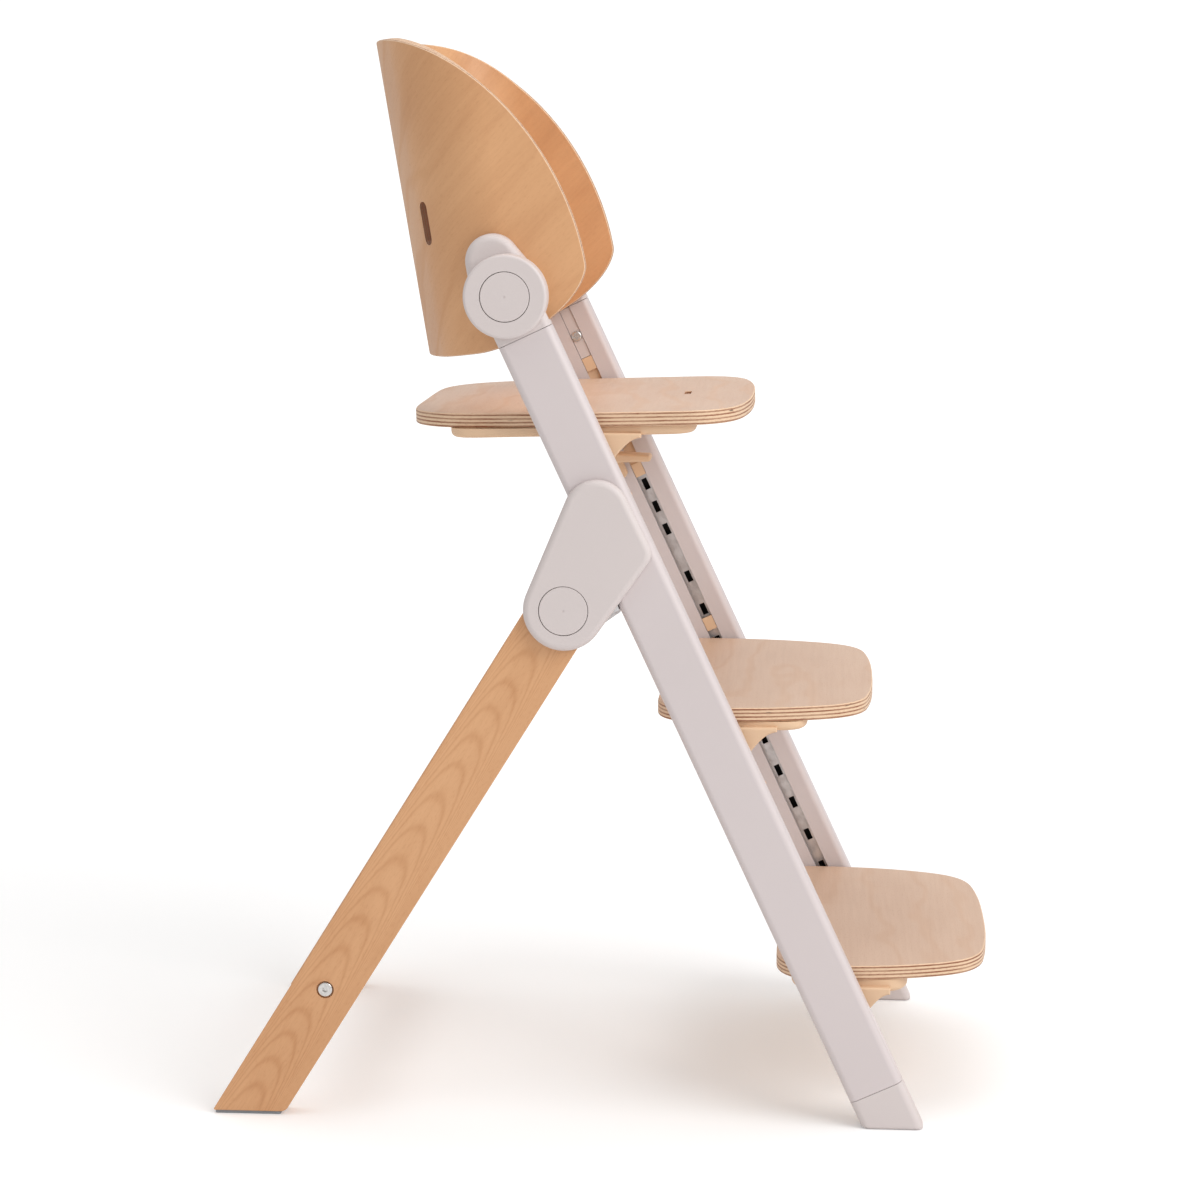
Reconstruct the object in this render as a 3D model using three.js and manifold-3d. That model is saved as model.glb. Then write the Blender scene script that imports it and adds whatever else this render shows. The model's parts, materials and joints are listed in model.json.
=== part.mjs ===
// Folding wooden high chair, millimetres, +Z up, front of the chair towards -Y.
// Two inclined aluminium front legs carry the seat, the footrest and the step on slotted height rails.
// Two beech rear legs fold forward about the hinges, and the bent backrest folds over the seat.
// Left and right are those of the seated child: left is +X.
import * as THREE from 'three';
import { mergeVertices } from 'three/addons/utils/BufferGeometryUtils.js';
import Module from 'manifold-3d';

const wasm = await Module();
wasm.setup();

const degrees = THREE.MathUtils.degToRad;

// ---- clearances -------------------------------------------------------------------------------
const GAP = 0.3;               // between two pieces that touch
const SLIDE_GAP = 0.35;        // around a piece that slides in a channel
const BORE_GAP = 0.3;          // around a pin in its bore
const BUTTON_GAP = 0.5;        // the ring around a push button

// ---- front legs -------------------------------------------------------------------------------
const LEG_SPREAD = 400;        // over the outer faces of the two legs
const LEG_TILT = degrees(24.95);
const LEG_WIDTH = 47;
const LEG_THICK = 24;
const LEG_CORNER = 6;
const LEG_WALL = 2.2;
const LEG_BOTTOM = 35.5;       // joint with the foot, measured along the leg from the floor
const LEG_TOP = 727;           // joint with the top cap
const SLOT_WIDTH = 10.5;
const SLOT_LIP = 2.4;
const CHANNEL_WIDTH = 22;
const CHANNEL_DEPTH = 6;
const CHANNEL_WALL = 1.8;
const LEDGE_WIDTH = 3.3;
const LEDGE_THICK = 1.9;
const SPIGOT_LENGTH = 18;
const FOOT_CORNER = 6;

// ---- height rails -----------------------------------------------------------------------------
const RAIL_THICK = 1.5;
const RAIL_WIDTH = 24.6;
const RAIL_INSET = 1.5;
const HOLE_WIDTH = 5.2;
const HOLE_LENGTH = 11;
const LOWER_HOLE_FIRST = 142.6;
const LOWER_HOLE_PITCH = 34.1;
const LOWER_HOLE_COUNT = 10;
const UPPER_HOLE_FIRST = 498.9;
const UPPER_HOLE_PITCH = 23.5;
const UPPER_HOLE_COUNT = 7;

// ---- carriages that run in the rails ----------------------------------------------------------
const SEAT_HOLE = 5;           // hole that the middle of the seat carriage stands at
const FOOTREST_HOLE = 6;
const STEP_CENTRE = 106;       // middle of the fixed lower carriage, along the leg
const GLIDER_LENGTH = 122;
const STEP_GLIDER_LENGTH = 60;
const GLIDER_BLOCK = 13;
const GLIDER_NECK = 30;
const PLATE_RISE = 40;         // from the middle of a carriage to the top of its plate, along the leg
const LOCK_STRIP = 1.6;        // thickness of the lock bar's strip
const LOCK_PRONG = 3.6;
const LOCK_PRONG_LENGTH = 8;
const LOCK_LAP = 0.4;          // of the strip on the prongs
const LOCK_END = 3;
const COLUMN_GAP = 3;          // between a bracket column and the leg, room for the lock bar to lift
const COLUMN_DEPTH = 14;       // of a bracket column, across the chair
const COLUMN_WIDTH = 13;       // of a bracket column, across the leg
const COLUMN_SETBACK = 22;     // its rear edge behind the middle of the leg
const COLUMN_DROP = 97;        // its foot below the top of the plate, along the leg
const GUSSET_DROP = 66;        // where the sweep under the plate leaves the column, along the leg
const GUSSET_FRONT = 63;
const GUSSET_REACH = 49;       // handles of the sweep: forward of the leg and below the plate
const GUSSET_FALL = 21;
const GUSSET_BEND = 42;
const GUSSET_BEND_FALL = 38;
const STEP_GUSSET_FRONT = 58;
const STEP_GUSSET_REACH = 46;
const STEP_GUSSET_FALL = 25;
const LEVER_LENGTH = 38;
const LEVER_THICK = 9;
const LEVER_TIP_THICK = 6;
const LEVER_REACH = 24;        // across the chair
const LEVER_DROP = 71;
const LEVER_PIN = 2.5;
const STEP_SCREW_HEAD = 5.5;
const STEP_SCREW_HEAD_THICK = 2.6;

// ---- plates -----------------------------------------------------------------------------------
const PLY = 12;
const PLY_EDGE = 1.5;
const PLATE_SIDE_GAP = 4;      // between a plate and the inner face of a leg
const SEAT_PITCH = degrees(1.5);
const SEAT_BACK = 135;
const SEAT_FRONT = 152;
const TREAD_BACK = 38;
const TREAD_FRONT = 144;
const TRAY_THICK = 7.5;
const TRAY_CORNER = 26;
const TRAY_SIDE = 5;           // the tray stops this far inside the plate's widest side
const TRAY_POCKET = 4.5;
const TRAY_WALL = 5;
const SEAT_TRAY_BACK = 97;
const SEAT_TRAY_FRONT = 107;
const TREAD_TRAY_BACK = 25;
const TREAD_TRAY_FRONT = 88;
const STEP_TRAY_FRONT = 73;
const STEP_TRAY_THICK = 11.5;
const CROTCH_SLOT_WIDTH = 28;
const CROTCH_SLOT_LENGTH = 6;
const CROTCH_SLOT_FORWARD = 94;
const CROTCH_SLOT_CORNER = 2.2;
const CROTCH_MARGIN = 5;       // of the window in the tray around the slot

// ---- hinge of the rear legs -------------------------------------------------------------------
const HINGE_ALONG = 512;       // along the front leg
const HINGE_BEHIND = 65;       // behind the middle of the front leg
const HINGE_LOBE = 33.5;
const HINGE_PROUD = 9;
const HINGE_CROWN = 27;
const HINGE_CROWN_RISE = 61.6;
const HINGE_CROWN_BEHIND = 6.8;
const HINGE_NOSE = 14.5;
const HINGE_NOSE_RISE = 19;
const HINGE_NOSE_AHEAD = 6.6;
const HINGE_RIM = 2.2;
const CHEEK_THICK = 3;
const SPINE_DEPTH = 10;
const SPINE_RISE = 52;
const SPINE_DROP = 24;
const BUTTON_RADIUS = 20;
const BUTTON_THICK = 4.6;
const BUTTON_TRAVEL = 3;
const AXLE_RADIUS = 6;
const AXLE_HEAD_RADIUS = 10;
const AXLE_HEAD_THICK = 3;

// ---- rear frame -------------------------------------------------------------------------------
const REAR_TILT = degrees(31.8);
const REAR_WIDTH = 52.8;
const REAR_THICK = 22;
const REAR_INSET = 1.7;        // outer face inside the front leg's outer face
const REAR_FOOT_CORNER = 4;
const PAD_THICK = 2.7;
const PAD_INSET = 2;
const BAR_DROP = 384;          // crossbar below the hinge, along the rear leg
const BAR_WIDTH = 44;
const BAR_THICK = 24;
const BAR_CORNER = 6;
const BOLT_RADIUS = 3.2;
const BOLT_HEAD_RADIUS = 6.3;
const BOLT_HEAD_THICK = 2.6;
const BOLT_GRIP = 40;
const COUNTERBORE_DEPTH = 3;
const HEX_RADIUS = 2.4;
const HEX_DEPTH = 1.6;

// ---- backrest ---------------------------------------------------------------------------------
const PIVOT_RISE = 36;         // backrest pivot above the top of the leg, along the leg
const DISC_RADIUS = 34;
const DISC_PROUD = 8;
const CAP_SHOULDER = 4.5;
const ARM_THICK = 15.7;
const ARM_PIVOT_RADIUS = 30;
const ARM_BOSS_RADIUS = 22;
const ARM_LENGTH = 30.4;
const BACKREST_SIDE_GAP = 6;   // between the shell and the inner face of a leg
const BACKREST_LEAN = degrees(9.35);
const BACKREST_THICK = 10;
const BACKREST_PIVOT_HEIGHT = 44.4;
const BACKREST_PIVOT_DEPTH = 93.5;
const BACK_RADIUS = 320;       // plan curve across the middle
const SIDE_RADIUS = 80;        // plan curve into the wings
const WING_DEPTH = 159;
const WING_TIP_HEIGHT = 59;
const BACKREST_HEIGHT = 268;
const CROWN_POWER = 1.85;
const SKIRT_POWER = 1.65;
const SKIRT_START = 60;
const BELT_SLOT_WIDTH = 13;
const BELT_SLOT_LENGTH = 36;
const BELT_SLOT_HEIGHT = 111.5;
const BELT_SLOT_DEPTH = 30;
const SCREW_RADIUS = 3;
const SCREW_HEAD_RADIUS = 8;
const SCREW_HEAD_THICK = 2.5;
const STOP_SCREW_RADIUS = 2.4;
const STOP_SCREW_HEAD = 4.9;
const STOP_SCREW_BELOW_TOP = 28;

// ---- materials --------------------------------------------------------------------------------
function finish(color, roughness, metalness) {
  return new THREE.MeshStandardMaterial({ color, roughness, metalness });
}
const painted = finish(0xd8cecb, 0.42, 0.25);
const plastic = finish(0xdad2ce, 0.55, 0);
const beech = finish(0xd8a46c, 0.5, 0);
const plywood = finish(0xd9b892, 0.5, 0);
const backPlywood = finish(0xd9ab76, 0.5, 0);
const tanPlastic = finish(0xe0b386, 0.5, 0);
const steel = finish(0xa9a9ab, 0.32, 1);
const rubber = finish(0x8f9398, 0.9, 0);

// ---- derived positions ------------------------------------------------------------------------
const legOuter = LEG_SPREAD / 2;
const legInner = legOuter - LEG_THICK;
const legHalf = LEG_WIDTH / 2;
const slotHalf = SLOT_WIDTH / 2;
const channelHalf = CHANNEL_WIDTH / 2;
const railFront = SLOT_LIP + CHANNEL_DEPTH + GAP;
const railBack = railFront + RAIL_THICK;
const ledgeBack = railBack + GAP + LEDGE_THICK;
const plateHalf = legInner - PLATE_SIDE_GAP;
const seatCentre = UPPER_HOLE_FIRST + SEAT_HOLE * UPPER_HOLE_PITCH;
const footrestCentre = LOWER_HOLE_FIRST + FOOTREST_HOLE * LOWER_HOLE_PITCH;
const pivotAlong = LEG_TOP + PIVOT_RISE;
const rearOuter = legOuter - REAR_INSET;
const rearInner = rearOuter - REAR_THICK;
const armInner = legInner - BACKREST_SIDE_GAP + GAP;
const armOuter = armInner + ARM_THICK;
const shellHalf = legInner - BACKREST_SIDE_GAP;

// A point of the chair from its place along the front leg and behind the leg's middle line.
function onLeg(along, behind) {
  return {
    y: along * Math.sin(LEG_TILT) + behind * Math.cos(LEG_TILT),
    z: along * Math.cos(LEG_TILT) - behind * Math.sin(LEG_TILT),
  };
}
const hinge = onLeg(HINGE_ALONG, HINGE_BEHIND);
const backPivot = onLeg(pivotAlong, 0);

// ---- solids -----------------------------------------------------------------------------------
function solid(geometry) {
  const bare = geometry.clone();
  bare.deleteAttribute('normal');
  bare.deleteAttribute('uv');
  const merged = mergeVertices(bare, 1e-4);
  return new wasm.Manifold(new wasm.Mesh({
    numProp: 3,
    vertProperties: Float32Array.from(merged.attributes.position.array),
    triVerts: Uint32Array.from(merged.index.array),
  }));
}

function geometryOf(manifold) {
  const { vertProperties, triVerts } = manifold.getMesh();
  const indexed = new THREE.BufferGeometry();
  indexed.setAttribute('position', new THREE.BufferAttribute(vertProperties, 3));
  indexed.setIndex(new THREE.BufferAttribute(triVerts, 1));
  const flat = indexed.toNonIndexed();
  flat.computeVertexNormals();
  return flat;
}

function join(...geometries) {
  return geometryOf(geometries.map(solid).reduce((sum, next) => sum.add(next)));
}

function cut(geometry, ...tools) {
  return geometryOf(tools.map(solid).reduce((rest, tool) => rest.subtract(tool), solid(geometry)));
}

function common(first, second) {
  return geometryOf(solid(first).intersect(solid(second)));
}

// The same piece on the other side of the chair: x is negated and every face is turned back outwards.
function mirrored(geometry) {
  const copy = geometry.index ? geometry.toNonIndexed() : geometry.clone();
  const place = copy.attributes.position;
  for (let corner = 0; corner < place.count; corner += 3) {
    const [a, b, c] = [0, 1, 2].map((k) => new THREE.Vector3().fromBufferAttribute(place, corner + k));
    place.setXYZ(corner, -a.x, a.y, a.z);
    place.setXYZ(corner + 1, -c.x, c.y, c.z);
    place.setXYZ(corner + 2, -b.x, b.y, b.z);
  }
  copy.computeVertexNormals();
  return copy;
}

const EXTRUSION = { bevelEnabled: false, curveSegments: 4 };

// A shape drawn in (x, y) raised from z0 to z1.
function alongZ(shape, z0, z1, options = EXTRUSION) {
  const geometry = new THREE.ExtrudeGeometry(shape, { ...options, depth: z1 - z0 });
  return geometry.translate(0, 0, z0);
}

// A shape drawn in (y, z) carried from x0 to x1.
const TO_X = new THREE.Matrix4().makeBasis(
  new THREE.Vector3(0, 1, 0),
  new THREE.Vector3(0, 0, 1),
  new THREE.Vector3(1, 0, 0),
);
function alongX(shape, x0, x1, options = EXTRUSION) {
  const geometry = new THREE.ExtrudeGeometry(shape, { ...options, depth: x1 - x0 });
  return geometry.applyMatrix4(TO_X).translate(x0, 0, 0);
}

function discX(radius, x0, x1, y, z, segments = 28) {
  const geometry = new THREE.CylinderGeometry(radius, radius, x1 - x0, segments);
  return geometry.rotateZ(-Math.PI / 2).translate((x0 + x1) / 2, y, z);
}

// A turned piece with its axis along X: the profile lists [radius, x] and starts and ends on the axis.
function turnedX(profile, y, z, segments = 24) {
  const points = profile.map(([radius, x]) => new THREE.Vector2(radius, x));
  const geometry = new THREE.LatheGeometry(points, segments);
  return geometry.rotateZ(-Math.PI / 2).translate(0, y, z);
}

function box(x0, x1, y0, y1, z0, z1) {
  const geometry = new THREE.BoxGeometry(x1 - x0, y1 - y0, z1 - z0);
  return geometry.translate((x0 + x1) / 2, (y0 + y1) / 2, (z0 + z1) / 2);
}

function roundedPolygon(corners, path = new THREE.Shape()) {
  const count = corners.length;
  corners.forEach(([x, y, radius = 0], index) => {
    const here = new THREE.Vector2(x, y);
    const before = new THREE.Vector2(...corners[(index + count - 1) % count].slice(0, 2));
    const after = new THREE.Vector2(...corners[(index + 1) % count].slice(0, 2));
    const start = here.clone().add(before.clone().sub(here).setLength(radius));
    const end = here.clone().add(after.clone().sub(here).setLength(radius));
    if (index === 0) path.moveTo(start.x, start.y);
    else path.lineTo(start.x, start.y);
    if (radius > 0) path.quadraticCurveTo(x, y, end.x, end.y);
  });
  path.closePath();
  return path;
}

function roundedRectangle(x0, x1, y0, y1, radius) {
  return roundedPolygon([[x0, y0, radius], [x1, y0, radius], [x1, y1, radius], [x0, y1, radius]]);
}

function rectangle(x0, x1, y0, y1, path = new THREE.Shape()) {
  return roundedPolygon([[x0, y0], [x1, y0], [x1, y1], [x0, y1]], path);
}

// The outline of a belt drawn tight round circles given as [x, y, radius].
function beltOutline(circles, steps = 40) {
  const points = [];
  for (const [x, y, radius] of circles) {
    for (let k = 0; k < steps; k += 1) {
      const angle = (2 * Math.PI * k) / steps;
      points.push([x + radius * Math.cos(angle), y + radius * Math.sin(angle)]);
    }
  }
  points.sort((a, b) => a[0] - b[0] || a[1] - b[1]);
  const turn = (o, a, b) => (a[0] - o[0]) * (b[1] - o[1]) - (a[1] - o[1]) * (b[0] - o[0]);
  const chain = (ordered) => {
    const line = [];
    for (const point of ordered) {
      while (line.length > 1 && turn(line[line.length - 2], line[line.length - 1], point) <= 1e-9) line.pop();
      line.push(point);
    }
    return line.slice(0, -1);
  };
  const outline = [...chain(points), ...chain([...points].reverse())];
  return new THREE.Shape(outline.map(([x, y]) => new THREE.Vector2(x, y)));
}

// ---- scene graph ------------------------------------------------------------------------------
const chair = new THREE.Group();
const incline = new THREE.Group();
incline.rotation.x = -LEG_TILT;
chair.add(incline);

function place(parent, name, geometry, material) {
  const mesh = new THREE.Mesh(geometry, material.clone());
  mesh.name = name;
  parent.add(mesh);
  return mesh;
}

function placePair(parent, name, leftGeometry, material) {
  place(parent, `${name}_left`, leftGeometry, material);
  place(parent, `${name}_right`, mirrored(leftGeometry), material);
}

// ---- front leg: an open C-section whose slot faces the seat ------------------------------------
function legSection() {
  const shape = new THREE.Shape();
  const x0 = legInner;
  const x1 = legOuter;
  const r = LEG_CORNER;
  shape.moveTo(x0, slotHalf);
  shape.lineTo(x0, legHalf - r);
  shape.absarc(x0 + r, legHalf - r, r, Math.PI, Math.PI / 2, true);
  shape.absarc(x1 - r, legHalf - r, r, Math.PI / 2, 0, true);
  shape.absarc(x1 - r, -legHalf + r, r, 0, -Math.PI / 2, true);
  shape.absarc(x0 + r, -legHalf + r, r, -Math.PI / 2, -Math.PI, true);
  shape.lineTo(x0, -slotHalf);
  const chamfer = LEG_CORNER - LEG_WALL;
  const grooveHalf = RAIL_WIDTH / 2 + GAP;
  const chamberHalf = legHalf - LEG_WALL;
  const chamberDepth = LEG_THICK - LEG_WALL;
  const cavity = [
    [SLOT_LIP, slotHalf],
    [SLOT_LIP, channelHalf],
    [railFront - GAP, channelHalf],
    [railFront - GAP, grooveHalf],
    [railBack + GAP, grooveHalf],
    [railBack + GAP, grooveHalf - LEDGE_WIDTH],
    [ledgeBack, grooveHalf - LEDGE_WIDTH],
    [ledgeBack, grooveHalf + CHANNEL_WALL],
    [SLOT_LIP, grooveHalf + CHANNEL_WALL],
    [SLOT_LIP, chamberHalf - chamfer],
    [SLOT_LIP + chamfer, chamberHalf],
    [chamberDepth - chamfer, chamberHalf],
    [chamberDepth, chamberHalf - chamfer],
  ];
  for (const [depth, half] of cavity) shape.lineTo(x0 + depth, -half);
  for (const [depth, half] of [...cavity].reverse()) shape.lineTo(x0 + depth, half);
  shape.closePath();
  return shape;
}

function legOutline(x0 = legInner) {
  const shape = new THREE.Shape();
  const r = LEG_CORNER;
  shape.absarc(legOuter - r, legHalf - r, r, Math.PI / 2, 0, true);
  shape.absarc(legOuter - r, -legHalf + r, r, 0, -Math.PI / 2, true);
  shape.absarc(x0 + r, -legHalf + r, r, -Math.PI / 2, -Math.PI, true);
  shape.absarc(x0 + r, legHalf - r, r, Math.PI, Math.PI / 2, true);
  shape.closePath();
  return shape;
}

placePair(incline, 'front_leg', alongZ(legSection(), LEG_BOTTOM, LEG_TOP), painted);

// ---- height rail: a perforated strip in the bottom of the channel ------------------------------
function heightRail() {
  const shape = rectangle(-RAIL_WIDTH / 2, RAIL_WIDTH / 2, LEG_BOTTOM + RAIL_INSET, LEG_TOP - RAIL_INSET);
  const series = [
    [LOWER_HOLE_FIRST, LOWER_HOLE_PITCH, LOWER_HOLE_COUNT],
    [UPPER_HOLE_FIRST, UPPER_HOLE_PITCH, UPPER_HOLE_COUNT],
  ];
  for (const [first, pitch, count] of series) {
    for (let k = 0; k < count; k += 1) {
      const middle = first + k * pitch;
      const low = middle - HOLE_LENGTH / 2;
      shape.holes.push(rectangle(-HOLE_WIDTH / 2, HOLE_WIDTH / 2, low, low + HOLE_LENGTH, new THREE.Path()));
    }
  }
  return alongX(shape, legInner + railFront, legInner + railBack);
}
placePair(incline, 'height_rail', heightRail(), steel);

// A block that fills the leg's rear chamber and keys an end piece into it.
function spigot(low, high) {
  const x0 = legInner + ledgeBack + GAP;
  const x1 = legOuter - LEG_WALL - GAP;
  const half = legHalf - LEG_CORNER;
  return box(x0, x1, -half, half, low, high);
}

// ---- front foot: closes the leg and is cut level with the floor --------------------------------
function frontFoot() {
  const top = LEG_BOTTOM - GAP;
  const slope = Math.tan(LEG_TILT);
  const low = -legHalf * slope;
  const profile = roundedPolygon([
    [-legHalf - 1, top],
    [-legHalf, low, FOOT_CORNER],
    [legHalf, legHalf * slope, FOOT_CORNER],
    [legHalf + 1, top],
  ]);
  const block = alongZ(legOutline(), low - 5, top);
  const shaped = common(block, alongX(profile, legInner - 5, legOuter + 5));
  return join(shaped, spigot(top - 1, top + SPIGOT_LENGTH));
}
placePair(incline, 'front_foot', frontFoot(), plastic);

// ---- top cap: a half lap beside the backrest arm, with the round disc outside -------------------
const capFloor = legOuter + DISC_PROUD - BUTTON_THICK - BUTTON_TRAVEL - GAP;
function topCap() {
  const low = LEG_TOP + GAP;
  const lapInner = armOuter + GAP;
  const shoulder = alongZ(legOutline(), low, LEG_TOP + CAP_SHOULDER);
  const lap = alongZ(legOutline(lapInner), low, pivotAlong);
  const disc = discX(DISC_RADIUS, lapInner, legOuter + DISC_PROUD, 0, pivotAlong, 40);
  const body = join(shoulder, lap, disc, spigot(low - SPIGOT_LENGTH, low + 1));
  const buttonBore = discX(BUTTON_RADIUS + BUTTON_GAP, capFloor, legOuter + DISC_PROUD + 5, 0, pivotAlong);
  const axleBore = discX(AXLE_RADIUS + BORE_GAP, lapInner - 5, capFloor + 5, 0, pivotAlong);
  const headRadius = AXLE_HEAD_RADIUS + BORE_GAP;
  const headBore = discX(headRadius, capFloor - AXLE_HEAD_THICK - GAP, capFloor + 5, 0, pivotAlong);
  return cut(body, buttonBore, axleBore, headBore);
}
placePair(incline, 'top_cap', topCap(), plastic);

function pushButton(faceX, y, z) {
  const back = faceX - BUTTON_THICK;
  const edge = 0.8;
  return turnedX([
    [0, back],
    [BUTTON_RADIUS, back],
    [BUTTON_RADIUS, faceX - edge],
    [BUTTON_RADIUS - edge, faceX],
    [2, faceX],
    [0, faceX - edge],
  ], y, z, 28);
}
placePair(incline, 'fold_button', pushButton(legOuter + DISC_PROUD, 0, pivotAlong), plastic);

function axle(innerX, headX, y, z) {
  return turnedX([
    [0, innerX],
    [AXLE_RADIUS, innerX],
    [AXLE_RADIUS, headX - AXLE_HEAD_THICK],
    [AXLE_HEAD_RADIUS, headX - AXLE_HEAD_THICK],
    [AXLE_HEAD_RADIUS, headX],
    [0, headX],
  ], y, z);
}
placePair(incline, 'backrest_axle', axle(armInner + GAP, capFloor - GAP, 0, pivotAlong), steel);

// ---- slot stop: fills the top of the slot above the seat carriage -------------------------------
function channelPlug(low, high, faceDepth) {
  const running = channelHalf - SLIDE_GAP;
  const tongue = box(legInner + SLOT_LIP + GAP, legInner + railFront - SLIDE_GAP, -running, running, low, high);
  const neckHalf = slotHalf - GAP;
  const neck = box(legInner + faceDepth, legInner + SLOT_LIP + 1, -neckHalf, neckHalf, low, high);
  return join(tongue, neck);
}

const stopScrewAlong = LEG_TOP - STOP_SCREW_BELOW_TOP;
function slotStop() {
  const low = seatCentre + GLIDER_LENGTH / 2 + GAP;
  const plug = channelPlug(low, LEG_TOP - GAP, 1);
  const bore = discX(STOP_SCREW_RADIUS + BORE_GAP, legInner - 5, legInner + railFront, 0, stopScrewAlong, 20);
  return cut(plug, bore);
}
placePair(incline, 'slot_stop', slotStop(), plastic);

function buttonScrew(headX, radius, headRadius, headThick, length, y, z, hexRadius) {
  const shoulder = headX + headThick;
  const screw = turnedX([
    [0, headX],
    [headRadius * 0.6, headX],
    [headRadius, shoulder - headThick * 0.4],
    [headRadius, shoulder],
    [radius, shoulder],
    [radius, shoulder + length],
    [0, shoulder + length],
  ], y, z, 16);
  const socket = discX(hexRadius, headX - 5, headX + headThick * 0.6, y, z, 6);
  return cut(screw, socket);
}
const stopScrewLength = railFront - SLIDE_GAP - 1;
placePair(
  incline,
  'stop_screw',
  buttonScrew(legInner - 1.3, STOP_SCREW_RADIUS, STOP_SCREW_HEAD, 2, stopScrewLength - 0.5, 0, stopScrewAlong, 1.8),
  steel,
);

// ---- hinge: outer cover, inner bracket, axle and release button --------------------------------
function hingeOutline(inset) {
  return beltOutline([
    [HINGE_BEHIND, HINGE_ALONG, HINGE_LOBE - inset],
    [HINGE_CROWN_BEHIND, HINGE_ALONG + HINGE_CROWN_RISE, HINGE_CROWN - inset],
    [-HINGE_NOSE_AHEAD, HINGE_ALONG + HINGE_NOSE_RISE, HINGE_NOSE - inset],
  ]);
}

function hingeCover() {
  const face = legOuter + HINGE_PROUD;
  const plate = alongX(hingeOutline(0), legOuter + GAP, face);
  const band = alongX(hingeOutline(0), rearInner, legOuter + GAP + 1);
  const hollow = alongX(hingeOutline(HINGE_RIM), rearInner - 5, legOuter + GAP);
  const near = legHalf + GAP;
  const far = HINGE_BEHIND + HINGE_LOBE + 10;
  const sill = HINGE_ALONG + HINGE_LOBE / 2;
  const keep = roundedPolygon([
    [near, sill],
    [HINGE_BEHIND, sill],
    [far, sill + HINGE_LOBE / 2],
    [far, HINGE_ALONG + 150],
    [near, HINGE_ALONG + 150],
  ]);
  const rim = common(cut(band, hollow), alongX(keep, rearInner - 5, legOuter + 10));
  const floor = face - BUTTON_THICK - BUTTON_TRAVEL - GAP;
  const buttonBore = discX(BUTTON_RADIUS + BUTTON_GAP, floor, face + 5, HINGE_BEHIND, HINGE_ALONG);
  return cut(join(plate, rim), buttonBore);
}
placePair(incline, 'hinge_cover', hingeCover(), plastic);
placePair(incline, 'hinge_button', pushButton(legOuter + HINGE_PROUD, HINGE_BEHIND, HINGE_ALONG), plastic);

function hingeBracket() {
  const near = legHalf + GAP;
  const x0 = rearInner - GAP - CHEEK_THICK;
  const low = HINGE_ALONG - SPINE_DROP;
  const high = HINGE_ALONG + SPINE_RISE;
  const corner = SPINE_DEPTH / 2;
  const outline = beltOutline([
    [HINGE_BEHIND, HINGE_ALONG, HINGE_LOBE - HINGE_RIM - 1],
    [near + corner, low + corner, corner],
    [near + corner, high - corner, corner],
  ]);
  const cheek = alongX(outline, x0, x0 + CHEEK_THICK);
  const spine = box(x0, legOuter - GAP, near, near + SPINE_DEPTH, low + corner, high - corner);
  const bore = discX(AXLE_RADIUS + BORE_GAP, x0 - 5, x0 + CHEEK_THICK + 5, HINGE_BEHIND, HINGE_ALONG);
  return cut(join(cheek, spine), bore);
}
placePair(incline, 'hinge_bracket', hingeBracket(), steel);
const hingeAxle = axle(rearInner - GAP - CHEEK_THICK, legOuter, HINGE_BEHIND, HINGE_ALONG);
placePair(incline, 'hinge_axle', hingeAxle, steel);

// ---- rear frame: two legs, a crossbar, bolts and pads, drawn about the hinge --------------------
const rearFrame = new THREE.Group();
rearFrame.position.set(0, hinge.y, hinge.z);
rearFrame.rotation.x = REAR_TILT;
chair.add(rearFrame);

const rearHalf = REAR_WIDTH / 2;
// Height in the rear frame of the level plane that is `above` the floor, at `across` the leg.
function rearLevel(across, above) {
  return (above - hinge.z - across * Math.sin(REAR_TILT)) / Math.cos(REAR_TILT);
}

function rearLeg() {
  const profile = new THREE.Shape();
  profile.absarc(0, 0, rearHalf, 0, Math.PI, false);
  const sole = PAD_THICK + GAP;
  const frontLow = rearLevel(-rearHalf, sole);
  const backLow = rearLevel(rearHalf, sole);
  const slope = (backLow - frontLow) / REAR_WIDTH;
  profile.lineTo(-rearHalf, frontLow + REAR_FOOT_CORNER);
  profile.quadraticCurveTo(-rearHalf, frontLow, -rearHalf + REAR_FOOT_CORNER, frontLow + slope * REAR_FOOT_CORNER);
  profile.lineTo(rearHalf - REAR_FOOT_CORNER / 2, backLow - (slope * REAR_FOOT_CORNER) / 2);
  profile.quadraticCurveTo(rearHalf, backLow, rearHalf, backLow + REAR_FOOT_CORNER / 2);
  profile.closePath();
  const leg = alongX(profile, rearInner, rearOuter, { bevelEnabled: false, curveSegments: 12 });
  const axleBore = discX(AXLE_RADIUS + BORE_GAP, rearInner - 5, rearOuter + 5, 0, 0);
  const axleHead = discX(AXLE_HEAD_RADIUS + 2 * BORE_GAP, rearOuter - 2 * AXLE_HEAD_THICK, rearOuter + 5, 0, 0);
  const boltBore = discX(BOLT_RADIUS + BORE_GAP, rearInner - 5, rearOuter + 5, 0, -BAR_DROP, 16);
  const sink = discX(BOLT_HEAD_RADIUS + 1.1, rearOuter - COUNTERBORE_DEPTH, rearOuter + 5, 0, -BAR_DROP, 20);
  return cut(leg, axleBore, axleHead, boltBore, sink);
}
placePair(rearFrame, 'rear_leg', rearLeg(), beech);

function crossbar() {
  const reach = rearInner - GAP;
  const half = BAR_WIDTH / 2;
  const section = roundedRectangle(-half, half, -BAR_DROP - BAR_THICK / 2, -BAR_DROP + BAR_THICK / 2, BAR_CORNER);
  const bar = alongX(section, -reach, reach);
  const depth = BOLT_GRIP + GAP;
  const bores = [reach - depth, -reach - 5].map((x) => (
    discX(BOLT_RADIUS + BORE_GAP, x, x + depth + 5, 0, -BAR_DROP, 16)));
  return cut(bar, ...bores);
}
place(rearFrame, 'rear_crossbar', crossbar(), beech);

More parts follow.
